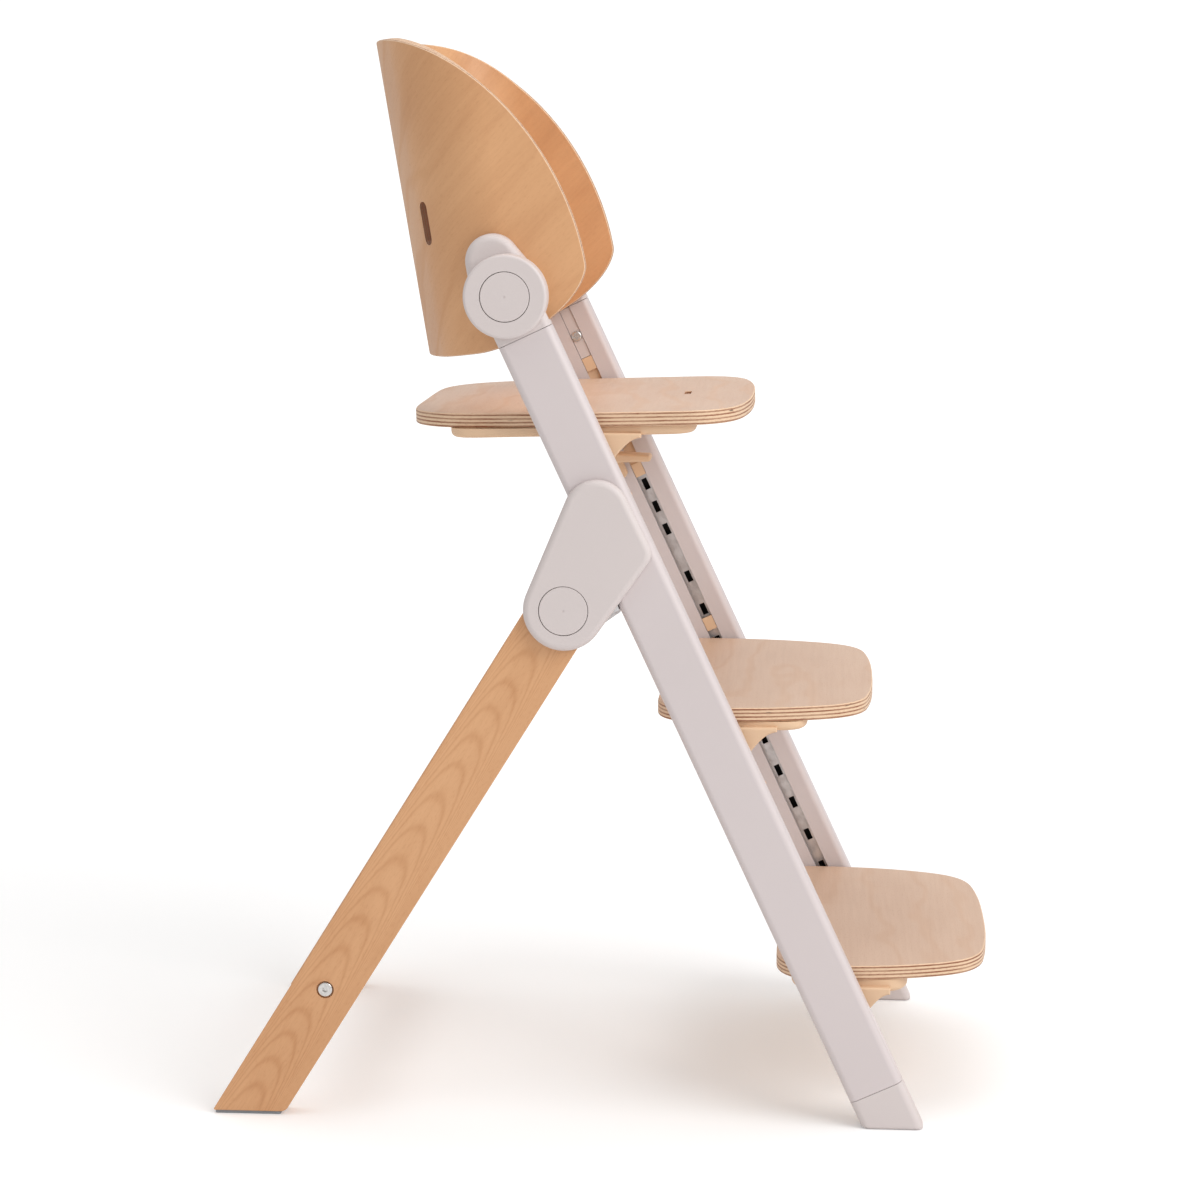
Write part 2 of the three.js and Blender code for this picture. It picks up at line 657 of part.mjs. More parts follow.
function crossbarBolt() {
  const seat = rearOuter - COUNTERBORE_DEPTH + GAP;
  const end = rearInner - BOLT_GRIP;
  const face = seat + BOLT_HEAD_THICK;
  const bolt = turnedX([
    [0, end],
    [BOLT_RADIUS, end],
    [BOLT_RADIUS, seat],
    [BOLT_HEAD_RADIUS, seat],
    [BOLT_HEAD_RADIUS, face - 0.9],
    [BOLT_HEAD_RADIUS - 1.2, face],
    [0, face],
  ], 0, -BAR_DROP);
  return cut(bolt, discX(HEX_RADIUS, face - HEX_DEPTH, face + 5, 0, -BAR_DROP, 6));
}
placePair(rearFrame, 'crossbar_bolt', crossbarBolt(), steel);

// The pad lies flat on the floor, so it is placed in the chair's own frame.
function rearPad() {
  const corner = (across) => {
    const level = rearLevel(across, PAD_THICK);
    return hinge.y + across * Math.cos(REAR_TILT) - level * Math.sin(REAR_TILT);
  };
  const outline = roundedRectangle(
    rearInner + PAD_INSET,
    rearOuter - PAD_INSET,
    corner(-rearHalf) + REAR_FOOT_CORNER,
    corner(rearHalf) - PAD_INSET,
    PAD_INSET,
  );
  return alongZ(outline, 0, PAD_THICK);
}
placePair(chair, 'rear_foot_pad', rearPad(), rubber);

// ---- backrest: bent plywood shell on two arms --------------------------------------------------
// The plan curve runs from the middle of the back into a wing: a wide arc, a tight arc, a straight.
const sideReach = shellHalf - SIDE_RADIUS;
const arcTurn = Math.asin(sideReach / (BACK_RADIUS - SIDE_RADIUS));
const sideCentreDepth = BACK_RADIUS - (BACK_RADIUS - SIDE_RADIUS) * Math.cos(arcTurn);
const wideArc = BACK_RADIUS * arcTurn;
const tightArc = SIDE_RADIUS * (Math.PI / 2 - arcTurn);
const planLength = wideArc + tightArc + (WING_DEPTH - sideCentreDepth);

// Point and outward normal of the plan curve's outer face at a distance from the middle.
function planPoint(distance) {
  if (distance <= wideArc) {
    const angle = distance / BACK_RADIUS;
    return {
      x: BACK_RADIUS * Math.sin(angle),
      depth: BACK_RADIUS * (1 - Math.cos(angle)),
      nx: Math.sin(angle),
      nd: -Math.cos(angle),
    };
  }
  if (distance <= wideArc + tightArc) {
    const angle = arcTurn + (distance - wideArc) / SIDE_RADIUS;
    return {
      x: sideReach + SIDE_RADIUS * Math.sin(angle),
      depth: sideCentreDepth - SIDE_RADIUS * Math.cos(angle),
      nx: Math.sin(angle),
      nd: -Math.cos(angle),
    };
  }
  return { x: shellHalf, depth: sideCentreDepth + distance - wideArc - tightArc, nx: 1, nd: 0 };
}

function crownHeight(depth) {
  const share = Math.min(depth / WING_DEPTH, 1);
  const rise = BACKREST_HEIGHT - WING_TIP_HEIGHT;
  return WING_TIP_HEIGHT + rise * (1 - share ** CROWN_POWER) ** (1 / CROWN_POWER);
}

function skirtHeight(depth) {
  const share = Math.min(Math.max((depth - SKIRT_START) / (WING_DEPTH - SKIRT_START), 0), 1);
  return WING_TIP_HEIGHT * (1 - (1 - share ** SKIRT_POWER) ** (1 / SKIRT_POWER));
}

// From the shell's own frame (x, depth forward of the back, height up the back) to the chair.
function onBackrest(x, depth, height) {
  const forward = depth - BACKREST_PIVOT_DEPTH;
  const up = height - BACKREST_PIVOT_HEIGHT;
  return new THREE.Vector3(
    x,
    backPivot.y - forward * Math.cos(BACKREST_LEAN) + up * Math.sin(BACKREST_LEAN),
    backPivot.z + forward * Math.sin(BACKREST_LEAN) + up * Math.cos(BACKREST_LEAN),
  );
}

function backrestShell() {
  const columns = 18;
  const rows = 5;
  const tip = 0.9985 * planLength;
  const grid = [];
  for (let i = -columns; i <= columns; i += 1) {
    const distance = tip * Math.sin((Math.PI / 2) * Math.abs(i) / columns);
    const side = Math.sign(i);
    const { x, depth, nx, nd } = planPoint(distance);
    const low = skirtHeight(depth);
    const high = crownHeight(depth);
    const column = [];
    for (const inset of [0, BACKREST_THICK]) {
      for (let j = 0; j <= rows; j += 1) {
        const height = low + ((high - low) * j) / rows;
        column.push(onBackrest(side * (x - inset * nx), depth - inset * nd, height));
      }
    }
    grid.push(column);
  }
  const points = [];
  const quad = (a, b, c, d) => points.push(a, b, c, a, c, d);
  const ring = [];
  for (let j = 0; j <= rows; j += 1) ring.push(j);
  for (let j = rows; j >= 0; j -= 1) ring.push(rows + 1 + j);
  for (let i = 0; i < grid.length - 1; i += 1) {
    ring.forEach((from, k) => {
      const to = ring[(k + 1) % ring.length];
      quad(grid[i][from], grid[i][to], grid[i + 1][to], grid[i + 1][from]);
    });
  }
  for (let j = 0; j < rows; j += 1) {
    const inner = rows + 1 + j;
    const first = grid[0];
    const last = grid[grid.length - 1];
    quad(first[j], first[inner], first[inner + 1], first[j + 1]);
    quad(last[j], last[j + 1], last[inner + 1], last[inner]);
  }
  return new THREE.BufferGeometry().setFromPoints(points);
}

// A cutter for the belt slot, square to the shell where the plan curve reaches the slot's depth.
function beltSlot(side) {
  let distance = 0;
  while (planPoint(distance).depth < BELT_SLOT_DEPTH) distance += 0.5;
  const { x, depth, nx, nd } = planPoint(distance);
  const outline = roundedRectangle(
    -BELT_SLOT_WIDTH / 2,
    BELT_SLOT_WIDTH / 2,
    -BELT_SLOT_LENGTH / 2,
    BELT_SLOT_LENGTH / 2,
    BELT_SLOT_WIDTH / 2,
  );
  const cutter = alongZ(outline, -BACKREST_THICK - 5, 5);
  const centre = onBackrest(side * x, depth, BELT_SLOT_HEIGHT);
  const outward = onBackrest(side * (x + nx), depth + nd, BELT_SLOT_HEIGHT).sub(centre);
  const upward = onBackrest(side * x, depth, BELT_SLOT_HEIGHT + 1).sub(centre);
  const across = upward.clone().cross(outward);
  return cutter.applyMatrix4(new THREE.Matrix4().makeBasis(across, upward, outward).setPosition(centre));
}

// Where the shell's inner face stands at a depth, on the left.
function innerFaceAt(depth) {
  let distance = 0;
  while (planPoint(distance).depth - BACKREST_THICK * planPoint(distance).nd < depth) distance += 0.25;
  const { x, nx } = planPoint(distance);
  return x - BACKREST_THICK * nx;
}

// The screw's head seats inside the shell, on the side of the boss where the shell curves in.
const boss = onLeg(pivotAlong + ARM_LENGTH, 0);
const bossRise = (boss.z - backPivot.z) * Math.sin(BACKREST_LEAN);
const bossDepth = BACKREST_PIVOT_DEPTH + bossRise - (boss.y - backPivot.y) * Math.cos(BACKREST_LEAN);
const screwHeadX = innerFaceAt(bossDepth - SCREW_HEAD_RADIUS) - GAP - SCREW_HEAD_THICK;

function backrest() {
  const bore = discX(SCREW_RADIUS + BORE_GAP, screwHeadX, shellHalf + 10, boss.y, boss.z, 20);
  const screwBores = [bore, mirrored(bore)];
  const shell = backrestShell();
  return cut(shell, beltSlot(1), beltSlot(-1), ...screwBores);
}
place(chair, 'backrest_shell', backrest(), backPlywood);

function backrestArm() {
  const top = pivotAlong + ARM_LENGTH;
  const outline = beltOutline([[0, pivotAlong, ARM_PIVOT_RADIUS], [0, top, ARM_BOSS_RADIUS]]);
  const arm = alongX(outline, armInner, armOuter);
  const axleBore = discX(AXLE_RADIUS + BORE_GAP, armInner - 5, armOuter + 5, 0, pivotAlong);
  const screwBore = discX(SCREW_RADIUS + BORE_GAP, armInner - 5, armInner + ARM_THICK / 2 + GAP, 0, top, 20);
  return cut(arm, axleBore, screwBore);
}
placePair(incline, 'backrest_arm', backrestArm(), plastic);

function backrestScrew() {
  const length = armInner + ARM_THICK / 2 - (screwHeadX + SCREW_HEAD_THICK);
  const z = pivotAlong + ARM_LENGTH;
  return buttonScrew(screwHeadX, SCREW_RADIUS, SCREW_HEAD_RADIUS, SCREW_HEAD_THICK, length, 0, z, HEX_RADIUS);
}
placePair(incline, 'backrest_screw', backrestScrew(), steel);

// ---- plates: drawn with their origin where the leg's middle line meets the top face ------------
// Each outline lists its right half from the back edge to the front edge.
function plateOutline(back, front, turns) {
  const shape = new THREE.Shape();
  shape.moveTo(0, back);
  const draw = (sign, list) => list.forEach(([x1, y1, x2, y2, x, y]) => {
    shape.bezierCurveTo(sign * x1, y1, sign * x2, y2, sign * x, y);
  });
  draw(1, turns);
  const reversed = [...turns].reverse().map(([x1, y1, x2, y2], index, list) => {
    const start = index + 1 < list.length ? turns[turns.length - 2 - index].slice(4) : [0, back];
    return [x2, y2, x1, y1, ...start];
  });
  draw(-1, reversed);
  shape.closePath();
  return shape;
}

function seatOutline() {
  const w = plateHalf;
  return plateOutline(SEAT_BACK, -SEAT_FRONT, [
    [w - 105, SEAT_BACK, w - 92, SEAT_BACK, w - 72, SEAT_BACK - 3],
    [w - 42, SEAT_BACK - 8, w - 20, SEAT_BACK - 28, w - 13, SEAT_BACK - 57],
    [w - 4, SEAT_BACK - 105, w, SEAT_BACK - 150, w, -SEAT_FRONT + 60],
    [w, -SEAT_FRONT + 25, w - 20, -SEAT_FRONT + 12, w - 60, -SEAT_FRONT + 6],
    [w - 95, -SEAT_FRONT + 1, w - 130, -SEAT_FRONT, 0, -SEAT_FRONT],
  ]);
}

function treadOutline() {
  const w = plateHalf;
  return plateOutline(TREAD_BACK, -TREAD_FRONT, [
    [w - 110, TREAD_BACK, w - 75, TREAD_BACK, w - 42, TREAD_BACK],
    [w - 16, TREAD_BACK, w, TREAD_BACK - 12, w, TREAD_BACK - 30],
    [w, -20, w - 2, -55, w - 12, -85],
    [w - 20, -TREAD_FRONT + 33, w - 30, -TREAD_FRONT + 12, w - 62, -TREAD_FRONT + 6],
    [w - 95, -TREAD_FRONT + 1, w - 125, -TREAD_FRONT, 0, -TREAD_FRONT],
  ]);
}

const BOARD_EDGE = {
  bevelEnabled: true,
  bevelThickness: PLY_EDGE,
  bevelSize: PLY_EDGE,
  bevelOffset: -PLY_EDGE,
  bevelSegments: 1,
  curveSegments: 5,
};
function board(outline) {
  return alongZ(outline, -PLY + PLY_EDGE, -PLY_EDGE, BOARD_EDGE);
}

// The moulded tray under a plate, with ribs between its pockets.
function tray({ back, front, thick, opening }) {
  const half = plateHalf - TRAY_SIDE;
  const top = -PLY - GAP;
  const body = alongZ(roundedRectangle(-half, half, -front, back, TRAY_CORNER), top - thick, top);
  const across = 3;
  const span = (2 * half - 2 * TRAY_CORNER - (across + 1) * TRAY_WALL) / across;
  const pockets = [];
  for (let k = 0; k < across; k += 1) {
    const x0 = -half + TRAY_CORNER + TRAY_WALL + k * (span + TRAY_WALL);
    const x1 = x0 + span;
    const rim = 2 * TRAY_WALL;
    const pocket = box(x0, x1, -front + rim, back - rim, top - thick - 5, top - thick + TRAY_POCKET);
    pockets.push(pocket);
  }
  if (opening) pockets.push(alongZ(opening, top - thick - 5, top + 5));
  return cut(body, ...pockets);
}

// A bracket column follows the leg and sweeps forward into the tray.
function fromPlate(behind, along) {
  return [
    along * Math.sin(LEG_TILT) + behind * Math.cos(LEG_TILT),
    along * Math.cos(LEG_TILT) - behind * Math.sin(LEG_TILT),
  ];
}

function columnProfile({ front, reach, fall }, thick) {
  const top = -PLY - GAP - thick / 2;
  const underside = top - thick / 2;
  const rear = COLUMN_SETBACK;
  const ahead = COLUMN_SETBACK - COLUMN_WIDTH;
  const foot = -COLUMN_DROP;
  const rounding = COLUMN_WIDTH / 2;
  const [rearY, rearZ] = fromPlate(rear, -GUSSET_DROP / 2);
  const columnEdge = fromPlate(ahead, -GUSSET_DROP);
  const shape = new THREE.Shape();
  shape.moveTo(-front, top);
  shape.lineTo(-front, underside);
  shape.bezierCurveTo(-reach, -fall, -GUSSET_BEND, -GUSSET_BEND_FALL, ...columnEdge);
  shape.lineTo(...fromPlate(ahead, foot + rounding));
  shape.bezierCurveTo(...fromPlate(ahead, foot), ...fromPlate(rear, foot), ...fromPlate(rear, foot + rounding));
  shape.lineTo(rearY, rearZ);
  shape.lineTo(rearY + COLUMN_WIDTH / 2, top);
  shape.closePath();
  return shape;
}

const columnOuter = legInner - COLUMN_GAP;
const columnInner = columnOuter - COLUMN_DEPTH;
const leverPivot = fromPlate(COLUMN_SETBACK - COLUMN_WIDTH / 2, -LEVER_DROP);

function carrier(seating) {
  const { thick, pitch, gusset, pinned } = seating;
  const level = tray(seating);
  const column = alongX(columnProfile(gusset, thick), columnInner, columnOuter);
  const bore = pinned
    ? discX(LEVER_PIN + BORE_GAP, columnInner - 5, columnOuter + 5, ...leverPivot, 20)
    : discX(SCREW_RADIUS + BORE_GAP, columnInner - 5, columnOuter + 5, ...fromPlate(0, -PLATE_RISE), 20);
  const drilled = cut(column, bore).rotateX(pitch);
  return join(level, drilled, mirrored(drilled));
}

// A glider runs in the channel: its end blocks fill the slot, and its neck holds the bracket column.
function glider(centre, length, tools) {
  const half = length / 2;
  const running = channelHalf - SLIDE_GAP;
  const x0 = legInner + SLOT_LIP + GAP;
  const tongue = box(x0, legInner + railFront - SLIDE_GAP, -running, running, centre - half, centre + half);
  const side = slotHalf - GAP;
  const block = (low) => (
    box(legInner + GAP, x0 + 1, -side, side, centre + low, centre + low + GLIDER_BLOCK));
  const neckBehind = LOCK_PRONG / 2 - LOCK_LAP - SLIDE_GAP;
  const neck = box(
    columnOuter + GAP,
    x0 + 1,
    -side,
    neckBehind,
    centre - GLIDER_NECK / 2,
    centre + GLIDER_NECK / 2,
  );
  return cut(join(tongue, block(-half), block(half - GLIDER_BLOCK), neck), ...tools);
}

function prongWindow(middle) {
  const half = LOCK_PRONG / 2 + SLIDE_GAP;
  const reach = LOCK_PRONG_LENGTH / 2 + SLIDE_GAP;
  return box(legInner - 5, legInner + railFront + 5, -half, half, middle - reach, middle + reach);
}

// The lock bar: a strip along the rear side of the slot with two prongs through the glider to the rail's holes.
// It stands drawn back just clear of the rail, as it does while the plate slides.
function lockBar(centre, pitch) {
  const half = LOCK_PRONG / 2;
  const reach = LOCK_PRONG_LENGTH / 2;
  const face = legInner + SLOT_LIP - GAP - LOCK_STRIP;
  const tip = legInner + railFront - SLIDE_GAP;
  const prongs = [-1, 1].map((side) => {
    const middle = centre + side * pitch;
    return box(face, tip, -half, half, middle - reach, middle + reach);
  });
  const end = lockEnd(pitch);
  const strip = box(face, face + LOCK_STRIP, half - LOCK_LAP, slotHalf - GAP, centre - end, centre + end);
  return join(strip, ...prongs);
}

function lockEnd(pitch) {
  return pitch + LOCK_PRONG_LENGTH / 2 + LOCK_END;
}

// The space that the lock bar's strip runs in, which a short glider's end blocks are notched for.
function lockRoom(centre, pitch) {
  const end = lockEnd(pitch) + SLIDE_GAP;
  const low = LOCK_PRONG / 2 - LOCK_LAP - SLIDE_GAP;
  return box(legInner - 5, legInner + SLOT_LIP, low, slotHalf + 5, centre - end, centre + end);
}

// A thumb lever beside the column: a rounded paddle pointing forward, on a short pin.
function lever() {
  const outer = columnInner - GAP;
  const root = LEVER_THICK / 2;
  const tip = LEVER_TIP_THICK / 2;
  const [y, z] = leverPivot;
  const paddle = alongX(beltOutline([[y, z, root], [y - LEVER_LENGTH + tip, z, tip]], 20), outer - LEVER_REACH, outer);
  return join(paddle, discX(LEVER_PIN, outer - 1, columnOuter - GAP, y, z, 20));
}

function addPlate(name, centre, outline, seating) {
  const top = onLeg(centre + PLATE_RISE, 0);
  const pitched = new THREE.Group();
  pitched.position.set(0, top.y, top.z);
  pitched.rotation.x = -seating.pitch;
  chair.add(pitched);
  place(pitched, `${name}_board`, outline, plywood);
  place(pitched, `${name}_carrier`, carrier(seating), tanPlastic);
  return top;
}

const SWEEP = { front: GUSSET_FRONT, reach: GUSSET_REACH, fall: GUSSET_FALL };

// A plate that moves: its carriage locks at the rail's holes, two pitches apart.
function addCarriage(name, centre, pitch, outline, seating) {
  const top = addPlate(name, centre, outline, { ...seating, pinned: true });
  const windows = [centre - pitch, centre + pitch].map(prongWindow);
  const tools = [...windows, lockRoom(centre, pitch)];
  placePair(incline, `${name}_glider`, glider(centre, GLIDER_LENGTH, tools), tanPlastic);
  placePair(incline, `${name}_lock`, lockBar(centre, pitch), steel);
  const level = new THREE.Group();
  level.position.set(0, top.y, top.z);
  chair.add(level);
  placePair(level, `${name}_lever`, lever(), tanPlastic);
}

// The slot for the crotch strap, or the larger window below it in the tray.
function crotchSlot(margin) {
  const half = CROTCH_SLOT_WIDTH / 2 + margin;
  const reach = CROTCH_SLOT_LENGTH / 2 + margin;
  const middle = -CROTCH_SLOT_FORWARD;
  return roundedRectangle(-half, half, middle - reach, middle + reach, CROTCH_SLOT_CORNER);
}

function seatBoard() {
  return cut(board(seatOutline()), alongZ(crotchSlot(0), -PLY - 5, 5));
}

addCarriage('seat', seatCentre, UPPER_HOLE_PITCH, seatBoard(), {
  back: SEAT_TRAY_BACK,
  front: SEAT_TRAY_FRONT,
  thick: TRAY_THICK,
  pitch: SEAT_PITCH,
  gusset: SWEEP,
  opening: crotchSlot(CROTCH_MARGIN),
});
addCarriage('footrest', footrestCentre, LOWER_HOLE_PITCH, board(treadOutline()), {
  back: TREAD_TRAY_BACK,
  front: TREAD_TRAY_FRONT,
  thick: TRAY_THICK,
  pitch: 0,
  gusset: SWEEP,
});

// The step is fixed: its gliders are screwed through the bracket columns.
addPlate('step', STEP_CENTRE, board(treadOutline()), {
  back: TREAD_TRAY_BACK,
  front: STEP_TRAY_FRONT,
  thick: STEP_TRAY_THICK,
  pitch: 0,
  gusset: { front: STEP_GUSSET_FRONT, reach: STEP_GUSSET_REACH, fall: STEP_GUSSET_FALL },
  pinned: false,
});
const stepScrewEnd = legInner + railFront - SLIDE_GAP - GAP;
const stepBore = discX(SCREW_RADIUS + BORE_GAP, legInner - 30, legInner + railFront + 5, 0, STEP_CENTRE, 20);
placePair(incline, 'step_glider', glider(STEP_CENTRE, STEP_GLIDER_LENGTH, [stepBore]), tanPlastic);
const stepScrewHead = columnInner - GAP - STEP_SCREW_HEAD_THICK;
placePair(incline, 'step_screw', buttonScrew(
  stepScrewHead,
  SCREW_RADIUS,
  STEP_SCREW_HEAD,
  STEP_SCREW_HEAD_THICK,
  stepScrewEnd - columnInner + GAP,
  0,
  STEP_CENTRE,
  HEX_RADIUS,
), steel);

chair.updateMatrixWorld(true);
const bounds = new THREE.Box3().setFromObject(chair, true);
const middle = bounds.getCenter(new THREE.Vector3());
chair.position.set(-middle.x, -middle.y, -bounds.min.z);
chair.updateMatrixWorld(true);

export default chair;
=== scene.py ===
import json
import math
from contextlib import contextmanager

import bmesh
import bpy
from bpy.props import FloatProperty, FloatVectorProperty, PointerProperty
from bpy.types import Operator, Panel, PropertyGroup
from mathutils import Matrix, Vector
from mathutils.geometry import convex_hull_2d


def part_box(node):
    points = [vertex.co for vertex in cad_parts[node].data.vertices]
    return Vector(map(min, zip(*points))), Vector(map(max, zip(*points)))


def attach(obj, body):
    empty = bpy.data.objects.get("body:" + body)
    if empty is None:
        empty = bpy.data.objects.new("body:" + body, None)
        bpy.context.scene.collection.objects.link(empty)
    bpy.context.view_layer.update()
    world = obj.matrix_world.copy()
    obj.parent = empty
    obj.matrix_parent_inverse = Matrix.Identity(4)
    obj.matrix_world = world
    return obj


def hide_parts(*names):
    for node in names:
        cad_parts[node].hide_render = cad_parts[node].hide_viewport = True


bl_info = {
    "name": "Folding High Chair",
    "version": (1, 0, 0),
    "blender": (4, 5, 0),
    "location": "3D View > Sidebar > High Chair",
    "description": "Finishes the pieces of a folding wooden high chair around its packed frame",
    "category": "Object",
}

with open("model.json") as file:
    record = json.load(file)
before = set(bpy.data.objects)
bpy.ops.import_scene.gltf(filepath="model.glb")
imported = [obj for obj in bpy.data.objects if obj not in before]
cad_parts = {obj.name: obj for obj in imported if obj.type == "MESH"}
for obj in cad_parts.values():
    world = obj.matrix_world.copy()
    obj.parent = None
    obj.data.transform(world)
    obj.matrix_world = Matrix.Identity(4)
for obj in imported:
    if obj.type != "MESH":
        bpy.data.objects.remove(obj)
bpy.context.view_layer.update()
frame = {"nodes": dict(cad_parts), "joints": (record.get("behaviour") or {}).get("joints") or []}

# ---- the frame's own lines -----------------------------------------------------------------------
JOINTS = {joint["name"]: joint for joint in frame["joints"]}
HINGE = Vector(JOINTS["rear_fold"]["pos_m"])
PIVOT = Vector(JOINTS["backrest_fold"]["pos_m"])
LEG_WAY = Vector(JOINTS["seat_height"]["axis"]).normalized()
LEG_TILT = math.atan2(LEG_WAY.y, LEG_WAY.z)
SIDES = ("left", "right")

GAP = 0.0003                 # between two pieces that touch
CUT = 0.01                   # how far a cutter runs past what it cuts
SEAM = 0.00035               # rounding of the edge where the leg meets its end pieces
NEAR = 0.00001               # room for rounding when edges are picked by place
SMOOTH_ANGLE = math.radians(32)
RUN = 0.00035                # around a piece that slides
LEG_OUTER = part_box("front_leg_left")[1].x
LEG_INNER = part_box("front_leg_left")[0].x

# ---- along the front leg, from the floor ---------------------------------------------------------
LEG_LOW = 0.0355
LEG_HIGH = 0.727
PIVOT_ALONG = 0.763
HINGE_ALONG = 0.512
HINGE_BEHIND = 0.065
SEAT_CENTRE = 0.6164
FOOTREST_CENTRE = 0.3472
STEP_CENTRE = 0.106
PLATE_RISE = 0.040
STOP_SCREW_ALONG = 0.699

# ---- section of the front leg --------------------------------------------------------------------
SLOT_LIP = 0.0024
CHANNEL_HALF = 0.011
CHANNEL_WALL = 0.0018
GROOVE_HALF = 0.0126
RAIL_FRONT = 0.0087
RAIL_BACK = 0.0102
LEDGE_WIDTH = 0.0033
LEDGE_BACK = 0.0124
LEG_WALL = 0.0022
FOOT_EDGE = 0.0032

# ---- discs, covers and buttons -------------------------------------------------------------------
DISC_RADIUS = 0.034
DISC_PROUD = 0.008
CAP_SHOULDER = 0.0045
ARM_INNER = 0.1703
ARM_OUTER = 0.186
ARM_LENGTH = 0.0304
ARM_PIVOT_RADIUS = 0.030
ARM_BOSS_RADIUS = 0.022
HINGE_PROUD = 0.009
HINGE_CIRCLES = ((0.065, 0.512, 0.0335), (0.0068, 0.5736, 0.027), (-0.0066, 0.531, 0.0145))
HINGE_RIM = 0.0022
BUTTON_RADIUS = 0.020
BUTTON_GAP = 0.0005
BUTTON_THICK = 0.0046
BUTTON_TRAVEL = 0.003
BUTTON_FLOOR = BUTTON_THICK + BUTTON_TRAVEL + GAP
AXLE_RADIUS = 0.006
AXLE_HEAD_RADIUS = 0.010
AXLE_HEAD_THICK = 0.003

# ---- rear frame ----------------------------------------------------------------------------------
REAR_TILT = math.radians(31.8)
REAR_HALF = 0.0264
REAR_OUTER = 0.1983
REAR_INNER = 0.1763
REAR_FOOT_CORNER = 0.0044
PAD_THICK = 0.0027
PAD_INSET = 0.002
BAR_DROP = 0.384
BAR_HALF_WIDTH = 0.022
BAR_HALF_THICK = 0.012
BAR_CORNER = 0.006
BOLT_RADIUS = 0.0032
BOLT_HEAD_RADIUS = 0.0063
BOLT_HEAD_THICK = 0.0026
BOLT_GRIP = 0.040
BOLT_SOCKET_DEPTH = 0.0021
BOLT_SINK = 0.003
SINK_GAP = 0.0011

# ---- backrest ------------------------------------------------------------------------------------
BACK_LEAN = math.radians(9.35)
BACK_THICK = 0.010
BACK_PIVOT_HEIGHT = 0.0444
BACK_PIVOT_DEPTH = 0.0935
BACK_RADIUS = 0.320
SIDE_RADIUS = 0.080
WING_DEPTH = 0.159
WING_TIP_HEIGHT = 0.059
BACK_HEIGHT = 0.268
CROWN_POWER = 1.85
SKIRT_POWER = 1.65
SKIRT_START = 0.060
BELT_SLOT_HALF = (0.0065, 0.018)
BELT_SLOT_HEIGHT = 0.1115
BELT_SLOT_DEPTH = 0.030
SAME = 0.000002              # points closer than this are one point
SLOT_RIM = 0.0006
SHELL_HALF = 0.170
SCREW_RADIUS = 0.003
SCREW_HEAD_RADIUS = 0.008
SCREW_HEAD_THICK = 0.0025
SHANK_LAP = 0.0002
SOCKET_RADIUS = 0.0024
STEP_SCREW_HEAD_RADIUS = 0.0055
STEP_SCREW_HEAD_THICK = 0.0026
STOP_SCREW_SOCKET = 0.0018
STOP_SCREW_SHANK = 0.0068
STOP_SCREW_PROUD = 0.0013
STOP_SCREW_RADIUS = 0.0024
STOP_SCREW_HEAD = 0.0049
STOP_SCREW_HEAD_THICK = 0.002

# ---- plates and their carriers -------------------------------------------------------------------
PLATE_HALF = 0.172
SEAT_PITCH = math.radians(1.5)
SEAT_BACK = 0.135
SEAT_FRONT = 0.152
TREAD_BACK = 0.038
TREAD_FRONT = 0.144
TRAY_CORNER = 0.026
TRAY_HALF = 0.167
TRAY_POCKET = 0.0045
TRAY_WALL = 0.005
CROTCH_SLOT_HALF = (0.014, 0.003)
CROTCH_SLOT_FORWARD = 0.094
CROTCH_SLOT_CORNER = 0.0022
CROTCH_MARGIN = 0.005
COLUMN_INNER = 0.159
COLUMN_OUTER = 0.173
COLUMN_AHEAD = 0.009
COLUMN_REAR = 0.022
COLUMN_DROP = 0.097
GUSSET_DROP = 0.066
GUSSET_BEND = (0.042, 0.038)
SWEEP = (0.063, 0.049, 0.021)
STEP_SWEEP = (0.058, 0.046, 0.025)
LEVER_DROP = 0.071
LEVER_LENGTH = 0.038
LEVER_ROOT = 0.0045
LEVER_TIP = 0.003
LEVER_REACH = 0.024
LEVER_PIN = 0.0025
GLIDER_HALF = 0.061
GLIDER_EDGE = 0.0003
SEAT_HOLE_PITCH = 0.0235
FOOTREST_HOLE_PITCH = 0.0341
STEP_GLIDER_HALF = 0.030
GLIDER_BLOCK = 0.013
GLIDER_NECK_HALF = 0.015
PRONG_HALF = 0.0018
PRONG_REACH = 0.004
SLOT_SIDE = 0.00495

# ---- finishes ------------------------------------------------------------------------------------
OWN = "own"                  # a piece that is a body by itself
FINISHES = {                 # each finish's slot in the frame and its materials
    # the powder coat's second material is a near-black painted shade for the walls of the leg's hollow chamber
    "powder coat": ("painted_aluminium", ("powder", "inside")),
    "greige": ("greige_plastic", ("moulded",)),
    "tan": ("tan_plastic", ("tan",)),
    "steel": ("steel", ("bright",)),
    "pad": ("pad_rubber", ("pad",)),
    "leg beech": ("beech", ("beech",)),
    "bar beech": ("beech", ("bar_beech",)),
    # the third material, for the walls of the belt slots, is a darker painted shade
    "bent plywood": ("bent_plywood", ("back", "back_edge", "shaded_slot_wall")),
    "seat plywood": ("plywood", ("seat", "ply_edge")),
    "footrest plywood": ("plywood", ("footrest", "ply_edge")),
    "step plywood": ("plywood", ("step", "ply_edge")),
}
LEG_ARCH = 110000            # how steeply the rings close round an arch of the rear leg's figure
BOARD_LAYERS = 3.9
BACK_LAYERS = 5.0
BACK_GRAIN = math.radians(36)
KNOT_COLOUR = (0.06, 0.025, 0.012, 1)

# ---- camera and stage ----------------------------------------------------------------------------
CAMERA_PLACE = (-2.6136, -0.1775, 0.8294)
CAMERA_WAY = (0.98498, 0.07223, -0.15683)
CAMERA_LENS = 90
CAMERA_SENSOR = 36
FLOOR_SIZE = 80

TO_X = Matrix(((0, 0, 1, 0), (1, 0, 0, 0), (0, 1, 0, 0), (0, 0, 0, 1)))
MIRROR = Matrix.Diagonal((-1, 1, 1, 1))


